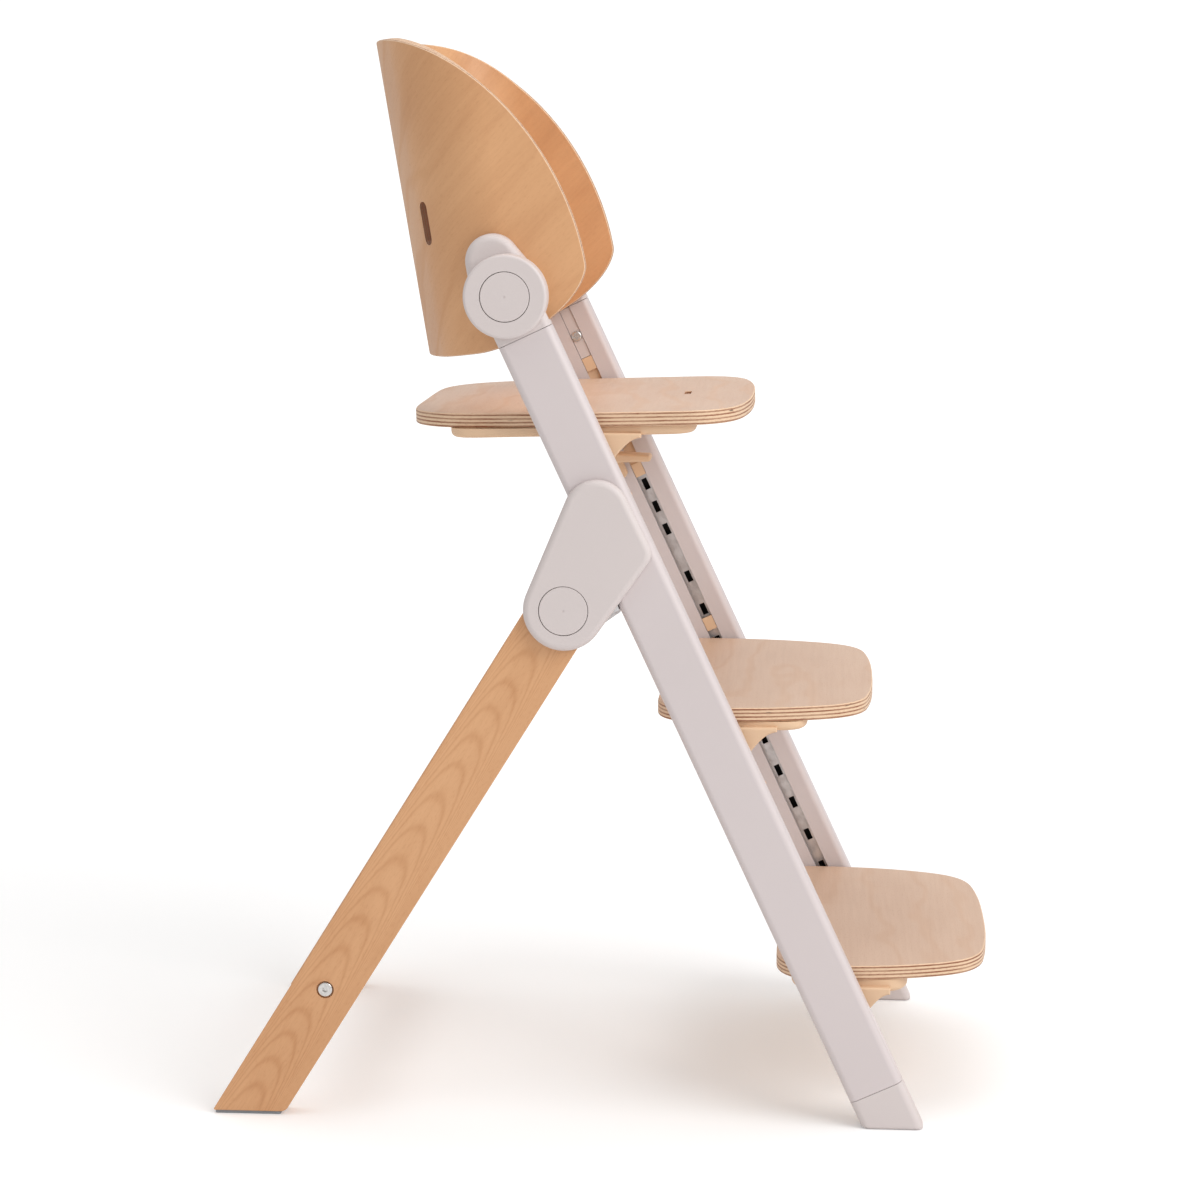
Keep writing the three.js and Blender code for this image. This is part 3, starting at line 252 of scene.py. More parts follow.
def frame_at(origin, turn):
    """A frame turned about X, whose Y points behind and whose Z points up or along."""
    return Matrix.Translation(origin) @ Matrix.Rotation(turn, 4, "X")


ON_LEG = frame_at(PIVOT - LEG_WAY * PIVOT_ALONG, -LEG_TILT)
ON_REAR = frame_at(HINGE, REAR_TILT)


def plate_frame(centre, pitch=0.0):
    """The frame of a plate: its origin is where the leg's middle line meets the plate's top."""
    return frame_at(ON_LEG @ Vector((0, 0, centre + PLATE_RISE)), -pitch)


ON_SEAT = plate_frame(SEAT_CENTRE, SEAT_PITCH)
ON_FOOTREST = plate_frame(FOOTREST_CENTRE)
ON_STEP = plate_frame(STEP_CENTRE)


# ---- properties ----------------------------------------------------------------------------------
def length(name, description, default):
    return FloatProperty(name=name, description=description, default=default, min=0, unit="LENGTH", precision=4)


def tone(name, description, default):
    return FloatVectorProperty(
        name=name, description=description, default=default, size=3, min=0, max=1, subtype="COLOR"
    )


class ChairSizes(PropertyGroup):
    """Sizes of the finish that a maker would change."""

    leg_width: length("Leg width", "Width of a front leg, seen from the side", 0.047)
    leg_corner: length("Leg corner", "Radius of a front leg's long edges", 0.006)
    slot_width: length("Slot width", "Width of the slot along a front leg", 0.0105)
    ply: length("Ply thickness", "Thickness of the seat, the footrest and the step", 0.012)
    ply_edge: length("Ply edge", "Rounding of a plywood board's edge", 0.0014)
    back_edge: length("Backrest edge", "Rounding of the backrest's rim", 0.0014)
    cover_edge: length("Cover edge", "Rounding of the hinge cover's outer edge", 0.0055)
    disc_edge: length("Disc edge", "Rounding of the round cap's outer edge", 0.0026)
    boss_edge: length("Boss edge", "Rounding of the backrest arm's outer edge", 0.0065)
    button_edge: length("Button edge", "Rounding of a push button's edge", 0.0006)
    moulded_edge: length("Moulded edge", "Rounding of the small moulded pieces", 0.0008)
    beech_edge: length("Beech edge", "Rounding of the beech legs' long edges", 0.0024)


class ChairColours(PropertyGroup):
    """Colours of the finishes."""

    powder: tone("Powder coat", "Satin powder coat of the front legs", (0.66, 0.585, 0.578))
    # Leg inside is painted shade: the walls of the leg's hollow chamber are coloured near black so that the
    # rail's holes look dark
    inside: tone("Leg inside", "Painted shade inside the hollow legs", (0.03, 0.028, 0.028))
    moulded: tone("Moulded greige", "Plastic of the caps, covers and buttons", (0.665, 0.592, 0.575))
    tan: tone("Moulded tan", "Plastic of the carriers, gliders and levers", (0.76, 0.52, 0.335))
    birch_pale: tone("Board pale", "Pale veneer of the boards", (0.7, 0.49, 0.355))
    birch_dark: tone("Board dark", "Darker figure of the boards", (0.57, 0.36, 0.24))
    back_pale: tone("Backrest pale", "Pale veneer of the backrest", (0.73, 0.4, 0.195))
    back_dark: tone("Backrest dark", "Darker figure of the backrest", (0.585, 0.285, 0.125))
    beech_pale: tone("Beech pale", "Solid beech of the rear legs", (0.73, 0.4, 0.2))
    beech_dark: tone("Beech dark", "Late wood of the rear legs", (0.57, 0.27, 0.115))
    ply_pale: tone("Ply pale", "Pale layers on a board's edge", (0.8, 0.57, 0.38))
    ply_dark: tone("Ply dark", "Cross layers on a board's edge", (0.27, 0.085, 0.032))
    # Slot wall is painted shade: the walls of the narrow belt slots are coloured far darker than the other ply
    # edges
    slot_painted_shade: tone("Slot wall shade", "Painted shade on the walls of the belt slots", (0.24, 0.13, 0.075))
    zinc: tone("Zinc", "Galvanised height rails", (0.8, 0.78, 0.78))
    bright: tone("Bright steel", "Screws and bolts", (0.74, 0.72, 0.70))
    pad: tone("Pad", "Pads under the rear legs", (0.30, 0.32, 0.34))


def sizes():
    return bpy.context.scene.high_chair_sizes


def colours():
    return bpy.context.scene.high_chair_colours


def opaque(colour):
    return (*colour, 1.0)


# ---- outlines ------------------------------------------------------------------------------------
def curve_point(controls, share):
    """The point of a Bezier curve of any degree."""
    points = [Vector(point) for point in controls]
    while len(points) > 1:
        points = [a.lerp(b, share) for a, b in zip(points, points[1:])]
    return points[0]


def curve(controls, steps):
    """Points of a Bezier curve without its start."""
    return [curve_point(controls, (k + 1) / steps) for k in range(steps)]


def circle(u, v, radius, steps=72):
    turns = [2 * math.pi * k / steps for k in range(steps)]
    return [Vector((u + radius * math.cos(a), v + radius * math.sin(a))) for a in turns]


def belt(circles, steps=96):
    """The outline of a belt drawn tight round circles."""
    points = [point for u, v, radius in circles for point in circle(u, v, radius, steps)]
    return [points[k] for k in convex_hull_2d(points)]


def rounded(corners, steps=8):
    """A polygon whose corners, given as (u, v, radius), are rounded."""
    outline = []
    for index, (u, v, radius) in enumerate(corners):
        here = Vector((u, v))
        before = Vector(corners[index - 1][:2]) - here
        after = Vector(corners[(index + 1) % len(corners)][:2]) - here
        if radius == 0:
            outline.append(here)
            continue
        start = here + before.normalized() * radius
        end = here + after.normalized() * radius
        outline += [start, *curve((start, here, end), steps)]
    return [point for index, point in enumerate(outline) if (point - outline[index - 1]).length > SAME]


def rectangle(u0, u1, v0, v1, radius=0.0, steps=8):
    return rounded([(u0, v0, radius), (u1, v0, radius), (u1, v1, radius), (u0, v1, radius)], steps)


def arc(u, v, radius, start, end, steps=10):
    turns = [start + (end - start) * k / steps for k in range(steps + 1)]
    return [Vector((u + radius * math.cos(a), v + radius * math.sin(a))) for a in turns]


# ---- modelling -----------------------------------------------------------------------------------
def take(piece):
    """Leaves only this piece selected and active."""
    bpy.ops.object.select_all(action="DESELECT")
    piece.select_set(True)
    bpy.context.view_layer.objects.active = piece


@contextmanager
def editing(piece):
    """Edit mode with the whole of this piece selected."""
    take(piece)
    bpy.ops.object.mode_set(mode="EDIT")
    bpy.ops.mesh.select_all(action="SELECT")
    yield
    bpy.ops.object.mode_set(mode="OBJECT")


def round_edges(piece, width, segments, test):
    """Rounds the edges whose two ends pass the test."""
    with editing(piece):
        bpy.ops.mesh.select_mode(type="EDGE")
        bpy.ops.mesh.select_all(action="DESELECT")
        mesh = bmesh.from_edit_mesh(piece.data)
        for edge in mesh.edges:
            edge.select_set(all(test(vertex.co) for vertex in edge.verts))
        mesh.select_flush_mode()
        bmesh.update_edit_mesh(piece.data)
        bpy.ops.mesh.bevel(offset=width, segments=segments, affect="EDGES", clamp_overlap=True)


def round_rim(piece, level, width, segments=4):
    """Rounds the edge loop that lies at this height of the piece's own frame."""
    round_edges(piece, width, segments, lambda point: abs(point.z - level) < 1e-6)


def prism(name, outline, low, high, low_edge=0.0, high_edge=0.0, segments=4):
    """A solid of this outline from low to high, with its two rims rounded."""
    bpy.ops.object.select_all(action="DESELECT")
    bpy.ops.mesh.primitive_circle_add(vertices=len(outline), fill_type="NGON")
    piece = bpy.context.object
    piece.name = piece.data.name = name
    for vertex, (u, v) in zip(piece.data.vertices, outline):
        vertex.co = (u, v, low)
    with editing(piece):
        bpy.ops.mesh.extrude_region_move(TRANSFORM_OT_translate={"value": (0, 0, high - low)})
        bpy.ops.mesh.select_all(action="SELECT")
        bpy.ops.mesh.normals_make_consistent(inside=False)
    for level, width in ((low, low_edge), (high, high_edge)):
        if width > 0:
            round_rim(piece, level, width, segments)
    return piece


def across(name, outline, x0, x1, inner_edge=0.0, outer_edge=0.0, segments=4):
    """A solid of an outline in (behind, along), carried across the chair from x0 to x1."""
    piece = prism(name, outline, x0, x1, inner_edge, outer_edge, segments)
    piece.data.transform(TO_X)
    return piece


def hole(behind, along, radius, x0, x1, steps=72):
    """A round cutter carried across the chair from x0 to x1."""
    return across("bore", circle(behind, along, radius, steps), x0, x1)


def block(name, x0, x1, y0, y1, z0, z1, edge=0.0):
    """A box with every edge rounded."""
    return prism(name, rectangle(x0, x1, y0, y1, edge, 3), z0, z1, edge, edge, 3)


def boolean(piece, other, operation):
    take(piece)
    modifier = piece.modifiers.new("Joint", "BOOLEAN")
    modifier.operation = operation
    modifier.solver = "EXACT"
    modifier.object = other
    bpy.ops.object.modifier_apply(modifier=modifier.name)
    bpy.data.objects.remove(other)
    return piece


def carve(piece, *tools):
    for tool in tools:
        boolean(piece, tool, "DIFFERENCE")
    return piece


def weld(piece, *others):
    for other in others:
        boolean(piece, other, "UNION")
    return piece


def mirror_copy(piece):
    """The same piece on the right of the chair, with its own mesh and its faces turned back outwards."""
    copy = piece.copy()
    copy.data = piece.data.copy()
    bpy.context.collection.objects.link(copy)
    copy.data.transform(MIRROR)
    copy.data.flip_normals()
    return copy


def finish_piece(piece, node, body, finish):
    """Smooths a finished piece, gives it its materials and ties it to the frame in its node's place."""
    piece.name = piece.data.name = f"finished_{node}"
    take(piece)
    bpy.ops.object.shade_smooth_by_angle(angle=SMOOTH_ANGLE)
    modifier = piece.modifiers.new("Even normals", "WEIGHTED_NORMAL")
    modifier.keep_sharp = True
    bpy.ops.object.modifier_apply(modifier=modifier.name)
    slot, materials = FINISHES[finish]
    for material in materials:
        piece.data.materials.append(MATERIALS[material])
    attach(piece, body)
    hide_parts(node)


def finish_pair(piece, node, finish, body="root"):
    """Finishes a left piece and its mirrored copy; each rides on `body`, or on its own if that is OWN."""
    for side, shape in zip(SIDES, (piece, mirror_copy(piece))):
        name = f"{node}_{side}"
        finish_piece(shape, name, name if body == OWN else body, finish)


# ---- material nodes ------------------------------------------------------------------------------
def add(tree, kind, inputs=None, **settings):
    """A node, whose inputs are values or other nodes' outputs."""
    made = tree.nodes.new(kind)
    for name, value in settings.items():
        setattr(made, name, value)
    for key, value in (inputs or {}).items():
        if isinstance(value, bpy.types.NodeSocket):
            tree.links.new(value, made.inputs[key])
        else:
            made.inputs[key].default_value = value
    return made


def maths(tree, operation, *values):
    return add(tree, "ShaderNodeMath", dict(enumerate(values)), operation=operation).outputs[0]


def spread(tree, value, low, high, to_low, to_high):
    """Maps low..high to to_low..to_high with soft ends."""
    inputs = {"Value": value, "From Min": low, "From Max": high, "To Min": to_low, "To Max": to_high}
    return add(tree, "ShaderNodeMapRange", inputs, interpolation_type="SMOOTHSTEP").outputs["Result"]


def scaled_noise(tree, vector, scale, detail=2.0, roughness=0.5):
    stretched = add(tree, "ShaderNodeVectorMath", {0: vector, 1: scale}, operation="MULTIPLY").outputs[0]
    inputs = {"Vector": stretched, "Scale": 1.0, "Detail": detail, "Roughness": roughness}
    return add(tree, "ShaderNodeTexNoise", inputs).outputs["Fac"]


def mix_colour(tree, share, first, second, blend="MIX"):
    inputs = {0: share, 6: first, 7: second}
    return add(tree, "ShaderNodeMix", inputs, data_type="RGBA", blend_type=blend).outputs[2]


def start_group(name, inputs, outputs):
    tree = bpy.data.node_groups.new(name, "ShaderNodeTree")
    for label, kind, default in inputs:
        socket = tree.interface.new_socket(name=label, in_out="INPUT", socket_type=f"NodeSocket{kind}")
        if default is not None:
            socket.default_value = default
    for label, kind in outputs:
        tree.interface.new_socket(name=label, in_out="OUTPUT", socket_type=f"NodeSocket{kind}")
    return tree, add(tree, "NodeGroupInput").outputs, add(tree, "NodeGroupOutput").inputs


def wood_figure_group():
    """Growth rings, streaks and flecks of wood, with the grain along X of the vector, in metres."""
    tree, given, result = start_group(
        "Wood figure",
        [
            ("Vector", "Vector", None),
            ("Ring Gap", "Float", 0.006),
            ("Ring Taper", "Float", 0.15),
            ("Arch", "Float", 0.0),
            ("Wander", "Float", 0.006),
            ("Ring Share", "Float", 0.5),
            ("Streak Share", "Float", 0.5),
            ("Blotch Share", "Float", 0.3),
            ("Pale", "Color", (0.7, 0.4, 0.2, 1)),
            ("Dark", "Color", (0.5, 0.25, 0.1, 1)),
        ],
        [("Color", "Color"), ("Height", "Float"), ("Pores", "Float")],
    )
    place = add(tree, "ShaderNodeSeparateXYZ", {0: given["Vector"]}).outputs
    slow = maths(tree, "SUBTRACT", scaled_noise(tree, given["Vector"], (7, 20, 20), 2.0), 0.5)
    wander = maths(tree, "MULTIPLY", slow, given["Wander"])
    flat = add(tree, "ShaderNodeCombineXYZ", {"X": place["Y"], "Y": place["Z"], "Z": 0.0}).outputs[0]
    radius = add(tree, "ShaderNodeVectorMath", {0: flat}, operation="LENGTH").outputs["Value"]
    steep = maths(tree, "MULTIPLY_ADD", maths(tree, "POWER", place["Y"], 4.0), given["Arch"], radius)
    grown = maths(tree, "ADD", maths(tree, "MULTIPLY_ADD", place["X"], given["Ring Taper"], steep), wander)
    turns = maths(tree, "MULTIPLY", maths(tree, "DIVIDE", grown, given["Ring Gap"]), 2 * math.pi)
    wave = maths(tree, "MULTIPLY_ADD", maths(tree, "SINE", turns), 0.5, 0.5)
    late = maths(tree, "POWER", wave, 5.0)
    soft = maths(tree, "POWER", wave, 1.5)
    streak = scaled_noise(tree, given["Vector"], (12, 300, 300), 3.0, 0.6)
    fine = scaled_noise(tree, given["Vector"], (190, 1300, 1300), 1.0)
    fleck = spread(tree, fine, 0.56, 0.70, 0.0, 1.0)
    blotch = spread(tree, scaled_noise(tree, given["Vector"], (6, 17, 17), 2.0), 0.3, 0.72, 0.0, 1.0)
    ring = maths(tree, "MULTIPLY_ADD", soft, 0.35, late)
    shade = maths(tree, "MULTIPLY", ring, given["Ring Share"])
    streaky = spread(tree, streak, 0.3, 0.75, 0.0, 1.0)
    shade = maths(tree, "MULTIPLY_ADD", streaky, given["Streak Share"], shade)
    shade = maths(tree, "MULTIPLY_ADD", blotch, given["Blotch Share"], shade)
    shade = maths(tree, "MULTIPLY_ADD", fleck, 0.26, shade)
    body = mix_colour(tree, maths(tree, "MINIMUM", shade, 1.0), given["Pale"], given["Dark"])
    tree.links.new(body, result["Color"])
    relief = maths(tree, "MULTIPLY_ADD", streak, 0.5, maths(tree, "MULTIPLY", fleck, -0.5))
    tree.links.new(relief, result["Height"])
    tree.links.new(maths(tree, "MAXIMUM", fleck, late), result["Pores"])
    return tree


def ply_layers_group():
    """The layers of plywood on a cut edge, from the share of the thickness below the face."""
    tree, given, result = start_group(
        "Ply layers",
        [
            ("Vector", "Vector", None),
            ("Depth", "Float", 0.0),
            ("Layers", "Float", 4.0),
            ("Pale", "Color", (0.8, 0.6, 0.4, 1)),
            ("Dark", "Color", (0.45, 0.2, 0.1, 1)),
        ],
        [("Color", "Color"), ("Height", "Float")],
    )
    waver = maths(tree, "SUBTRACT", scaled_noise(tree, given["Vector"], (45, 45, 45), 2.0), 0.5)
    wavy = maths(tree, "MULTIPLY_ADD", waver, 0.035, given["Depth"])
    turns = maths(tree, "MULTIPLY", maths(tree, "MULTIPLY", wavy, given["Layers"]), 2 * math.pi)
    wave = maths(tree, "MULTIPLY_ADD", maths(tree, "COSINE", turns), -0.5, 0.5)
    line = spread(tree, wave, 0.35, 0.9, 0.0, 1.0)
    grain = scaled_noise(tree, given["Vector"], (260, 260, 1400), 3.0, 0.65)
    patchy = scaled_noise(tree, given["Vector"], (28, 28, 420), 2.0)
    strength = maths(tree, "MULTIPLY", line, spread(tree, patchy, 0.25, 0.7, 1.0, 0.6))
    shade = maths(tree, "ADD", strength, spread(tree, grain, 0.45, 0.8, 0.0, 0.35))
    body = mix_colour(tree, maths(tree, "MINIMUM", shade, 1.0), given["Pale"], given["Dark"])
    knot = spread(tree, scaled_noise(tree, given["Vector"], (70, 70, 520), 1.0), 0.74, 0.80, 0.0, 0.8)
    tree.links.new(mix_colour(tree, knot, body, KNOT_COLOUR), result["Color"])
    relief = maths(tree, "MULTIPLY_ADD", line, -0.6, maths(tree, "MULTIPLY", grain, 0.4))
    tree.links.new(relief, result["Height"])
    return tree


def fine_texture_group():
    """The fine skin of powder coat and moulded plastic, with a slow change of tone."""
    tree, given, result = start_group(
        "Fine texture",
        [
            ("Vector", "Vector", None),
            ("Grain Size", "Float", 0.0006),
            ("Tone", "Color", (0.6, 0.6, 0.6, 1)),
            ("Tone Change", "Float", 0.05),
        ],
        [("Color", "Color"), ("Height", "Float"), ("Rub", "Float")],
    )
    size = maths(tree, "DIVIDE", 1.0, given["Grain Size"])
    scale = add(tree, "ShaderNodeCombineXYZ", {"X": size, "Y": size, "Z": size}).outputs[0]
    skin = scaled_noise(tree, given["Vector"], scale, 1.0)
    slow = scaled_noise(tree, given["Vector"], (11, 11, 11), 3.0, 0.6)
    shift = maths(tree, "MULTIPLY", maths(tree, "SUBTRACT", slow, 0.5), given["Tone Change"])
    level = maths(tree, "ADD", maths(tree, "MULTIPLY_ADD", skin, 0.02, 0.99), shift)
    grey = add(tree, "ShaderNodeCombineColor", {0: level, 1: level, 2: level}).outputs[0]
    tree.links.new(mix_colour(tree, 1.0, given["Tone"], grey, "MULTIPLY"), result["Color"])
    tree.links.new(skin, result["Height"])
    tree.links.new(slow, result["Rub"])
    return tree


GROUPS = {}
MATERIALS = {}


def group_node(tree, name, inputs):
    return add(tree, "ShaderNodeGroup", inputs, node_tree=GROUPS[name]).outputs


def start_material(name, roughness, metallic=0.0, coat=0.0):
    material = bpy.data.materials.new(name)
    material.use_nodes = True
    shader = material.node_tree.nodes["Principled BSDF"]
    shader.inputs["Roughness"].default_value = roughness
    shader.inputs["Metallic"].default_value = metallic
    shader.inputs["Coat Weight"].default_value = coat
    shader.inputs["Coat Roughness"].default_value = 0.35
    return material, material.node_tree, shader


def add_relief(tree, shader, height, distance, strength=1.0):
    bump = add(tree, "ShaderNodeBump", {"Height": height, "Distance": distance, "Strength": strength})
    tree.links.new(bump.outputs["Normal"], shader.inputs["Normal"])


def moulded_material(name, colour, roughness, grain, relief):
    """Moulded plastic or powder coat."""
    material, tree, shader = start_material(name, roughness)
    place = add(tree, "ShaderNodeTexCoord").outputs["Object"]
    skin = group_node(tree, "Fine texture", {
        "Vector": place,
        "Grain Size": grain,
        "Tone": opaque(colour),
        "Tone Change": 0.05,
    })
    tree.links.new(skin["Color"], shader.inputs["Base Color"])
    rub = spread(tree, skin["Rub"], 0.3, 0.7, roughness - 0.05, roughness + 0.05)
    tree.links.new(rub, shader.inputs["Roughness"])
    add_relief(tree, shader, skin["Height"], relief)
    return material


def wood_material(name, vector_of, figure, pale, dark, roughness):
    """Lacquered wood, whose grain runs along X of the vector that vector_of(tree) gives."""
    material, tree, shader = start_material(name, roughness, coat=0.12)
    wood = group_node(tree, "Wood figure", {
        "Vector": vector_of(tree),
        "Pale": opaque(pale),
        "Dark": opaque(dark),
        **figure,
    })
    tree.links.new(wood["Color"], shader.inputs["Base Color"])
    gloss = spread(tree, wood["Pores"], 0.0, 1.0, roughness, roughness + 0.12)
    tree.links.new(gloss, shader.inputs["Roughness"])
    add_relief(tree, shader, wood["Height"], 0.00006)
    return material


def ply_edge_material(name, layers, pale, dark):
    """The cut edge of plywood, from the piece's own ply_depth attribute."""
    material, tree, shader = start_material(name, 0.55, coat=0.08)
    depth = add(tree, "ShaderNodeAttribute", attribute_name="ply_depth").outputs["Fac"]
    place = add(tree, "ShaderNodeTexCoord").outputs["Object"]
    plies = group_node(tree, "Ply layers", {
        "Vector": place,
        "Depth": depth,
        "Layers": layers,
        "Pale": opaque(pale),
        "Dark": opaque(dark),
    })
    tree.links.new(plies["Color"], shader.inputs["Base Color"])
    add_relief(tree, shader, plies["Height"], 0.00012)
    return material


def grain_vector(origin, grain, side, shift):
    """Object coordinates measured from `origin`, turned so that X runs along the grain."""
    turn = Matrix((grain, side, grain.cross(side))).to_euler()

    def build(tree):
        ends = {0: add(tree, "ShaderNodeTexCoord").outputs["Object"], 1: tuple(origin)}
        moved = add(tree, "ShaderNodeVectorMath", ends, operation="SUBTRACT").outputs[0]
        inputs = {"Vector": moved, "Rotation": turn, "Location": shift}
        return add(tree, "ShaderNodeMapping", inputs).outputs[0]
    return build


def sheet_vector(turn):
    """The backrest's own UV map, in metres, turned so that X runs along the grain."""
    def build(tree):
        sheet = add(tree, "ShaderNodeUVMap", uv_map="sheet").outputs["UV"]
        inputs = {"Vector": sheet, "Rotation": (0, 0, turn), "Location": (0.11, 0.09, 0.02)}
        return add(tree, "ShaderNodeMapping", inputs).outputs[0]
    return build


def figure(gap, taper, wander, ring, streak, blotch):
    names = ("Ring Gap", "Ring Taper", "Wander", "Ring Share", "Streak Share", "Blotch Share")
    return dict(zip(names, (gap, taper, wander, ring, streak, blotch)))


def metal_material(name, colour, roughness, brushed):
    """Zinc plated or bright steel with a brushed or spangled skin."""
    material, tree, shader = start_material(name, roughness, metallic=1.0)
    place = add(tree, "ShaderNodeTexCoord").outputs["Object"]
    marks = scaled_noise(tree, place, brushed, 3.0, 0.6)
    dim = opaque([0.86 * channel for channel in colour])
    plating = mix_colour(tree, spread(tree, marks, 0.3, 0.7, 0, 1), dim, opaque(colour))
    tree.links.new(plating, shader.inputs["Base Color"])
    gloss = spread(tree, marks, 0.3, 0.7, roughness + 0.1, roughness - 0.06)
    tree.links.new(gloss, shader.inputs["Roughness"])
    add_relief(tree, shader, marks, 0.00003)
    return material


def make_materials():
    """Builds the shared node groups once and every finish from them."""
    tones = colours()
    GROUPS["Wood figure"] = wood_figure_group()
    GROUPS["Ply layers"] = ply_layers_group()
    GROUPS["Fine texture"] = fine_texture_group()
    level, behind = Vector((1, 0, 0)), Vector((0, 1, 0))
    along, across_leg = ON_REAR.col[2].to_3d(), ON_REAR.col[1].to_3d()
    MATERIALS.update({
        "powder": moulded_material("Satin powder coat", tones.powder, 0.40, 0.0005, 0.000012),
        # painted shade: the walls of the leg's hollow chamber are coloured near black
        "inside": moulded_material("Painted shade inside the leg", tones.inside, 0.70, 0.0009, 0.00003),
        "moulded": moulded_material("Moulded greige plastic", tones.moulded, 0.52, 0.0007, 0.00003),
        "tan": moulded_material("Moulded tan plastic", tones.tan, 0.50, 0.0008, 0.00004),
        "pad": moulded_material("Soft pad", tones.pad, 0.85, 0.0008, 0.00008),
        "zinc": metal_material("Galvanised rail", tones.zinc, 0.46, (260, 90, 90)),
        "bright": metal_material("Bright steel", tones.bright, 0.22, (500, 500, 500)),
        "ply_edge": ply_edge_material("Plywood edge", BOARD_LAYERS, tones.ply_pale, tones.ply_dark),
        "back_edge": ply_edge_material("Bent plywood edge", BACK_LAYERS, tones.ply_pale, tones.ply_dark),
        # painted shade: the walls of the belt slots are coloured far darker than the other ply edges
        "shaded_slot_wall": ply_edge_material("Slot wall shade", BACK_LAYERS, tones.slot_painted_shade, tones.ply_dark),
        "beech": wood_material(
            "Rear leg beech", grain_vector(HINGE, along, across_leg, (0.013, -0.004, -0.165)),
            {**figure(0.0062, 0.21, 0.009, 0.32, 0.20, 0.34), "Arch": LEG_ARCH},
            tones.beech_pale, tones.beech_dark, 0.42),
        "bar_beech": wood_material(
            "Crossbar beech", grain_vector(HINGE, level, across_leg, (0.07, 0.01, 0.02)),
            figure(0.0055, 0.08, 0.006, 0.34, 0.2, 0.22), tones.beech_pale, tones.beech_dark, 0.42),
        "back": wood_material(
            "Bent beech veneer", sheet_vector(BACK_GRAIN),
            figure(0.040, 0.10, 0.10, 0.15, 0.20, 0.50), tones.back_pale, tones.back_dark, 0.38),
    })
    for key, place, shift in (
        ("seat", ON_SEAT, (0.05, 0.012, 0.06)),
        ("footrest", ON_FOOTREST, (-0.12, 0.09, 0.05)),
        ("step", ON_STEP, (0.21, 0.02, 0.04)),
    ):
        MATERIALS[key] = wood_material(
            f"Board veneer {key}", grain_vector(place.translation, level, behind, shift),
            figure(0.030, 0.06, 0.07, 0.08, 0.26, 0.32), tones.birch_pale, tones.birch_dark, 0.36)


# ---- plywood -------------------------------------------------------------------------------------
def mark_plies(piece, depth_of):
    """Stores each point's share of the thickness and gives the cut edges the second material."""
    mesh = piece.data
    depths = [depth_of(vertex.co) for vertex in mesh.vertices]
    layer = mesh.attributes.new("ply_depth", "FLOAT", "POINT")
    layer.data.foreach_set("value", depths)
    for face in mesh.polygons:
        share = [depths[k] for k in face.vertices]
        if face.material_index == 0 and max(share) > 0.03 and min(share) < 0.97:
            face.material_index = 1


def board(name, outline):
    """A plywood board with its top at z 0 of its own frame."""
    edge = sizes().ply_edge
    return prism(name, outline, -sizes().ply, 0, edge, edge, 4)


def plate_outline(back, turns, steps=14):
    """The closed outline of a plate from Bezier turns of its left half, starting at its back edge."""
    half = [Vector((0, back))]
    for first, second, end in turns:
        half += curve((half[-1], first, second, end), steps)
    other = [Vector((-point.x, point.y)) for point in reversed(half[1:-1])]
    return half + other


def seat_outline():
    w, b, f = PLATE_HALF, SEAT_BACK, -SEAT_FRONT
    return plate_outline(b, [
        ((w - 0.105, b), (w - 0.092, b), (w - 0.072, b - 0.003)),
        ((w - 0.042, b - 0.008), (w - 0.020, b - 0.028), (w - 0.013, b - 0.057)),
        ((w - 0.004, b - 0.105), (w, b - 0.150), (w, f + 0.060)),
        ((w, f + 0.025), (w - 0.020, f + 0.012), (w - 0.060, f + 0.006)),
        ((w - 0.095, f + 0.001), (w - 0.130, f), (0, f)),
    ])


def tread_outline():
    w, b, f = PLATE_HALF, TREAD_BACK, -TREAD_FRONT
    return plate_outline(b, [
        ((w - 0.110, b), (w - 0.075, b), (w - 0.042, b)),
        ((w - 0.016, b), (w, b - 0.012), (w, b - 0.030)),
        ((w, -0.020), (w - 0.002, -0.055), (w - 0.012, -0.085)),
        ((w - 0.020, f + 0.033), (w - 0.030, f + 0.012), (w - 0.062, f + 0.006)),
        ((w - 0.095, f + 0.001), (w - 0.125, f), (0, f)),
    ])


def crotch_outline(margin):
    half, reach = (extent + margin for extent in CROTCH_SLOT_HALF)
    middle = -CROTCH_SLOT_FORWARD
    return rectangle(-half, half, middle - reach, middle + reach, CROTCH_SLOT_CORNER)


class HIGHCHAIR_OT_boards(Operator):
    """Makes the seat, the footrest and the step as plywood boards"""

    bl_idname = "high_chair.boards"
    bl_label = "Boards"

    def execute(self, context):
        ply = sizes().ply
        rows = (
            ("seat", seat_outline(), ON_SEAT, "seat"),
            ("footrest", tread_outline(), ON_FOOTREST, "footrest"),
            ("step", tread_outline(), ON_STEP, "root"),
        )
        for name, outline, place, body in rows:
            piece = board(name, outline)
            if name == "seat":
                carve(piece, prism("slot", crotch_outline(0.0), -2 * ply, ply))
            mark_plies(piece, lambda point: -point.z / ply)
            piece.data.transform(place)
            finish_piece(piece, f"{name}_board", body, f"{name} plywood")
        return {"FINISHED"}


# ---- backrest ------------------------------------------------------------------------------------
SIDE_REACH = SHELL_HALF - SIDE_RADIUS
ARC_TURN = math.asin(SIDE_REACH / (BACK_RADIUS - SIDE_RADIUS))
SIDE_CENTRE_DEPTH = BACK_RADIUS - (BACK_RADIUS - SIDE_RADIUS) * math.cos(ARC_TURN)
WIDE_ARC = BACK_RADIUS * ARC_TURN
TIGHT_ARC = SIDE_RADIUS * (math.pi / 2 - ARC_TURN)
PLAN_LENGTH = WIDE_ARC + TIGHT_ARC + WING_DEPTH - SIDE_CENTRE_DEPTH


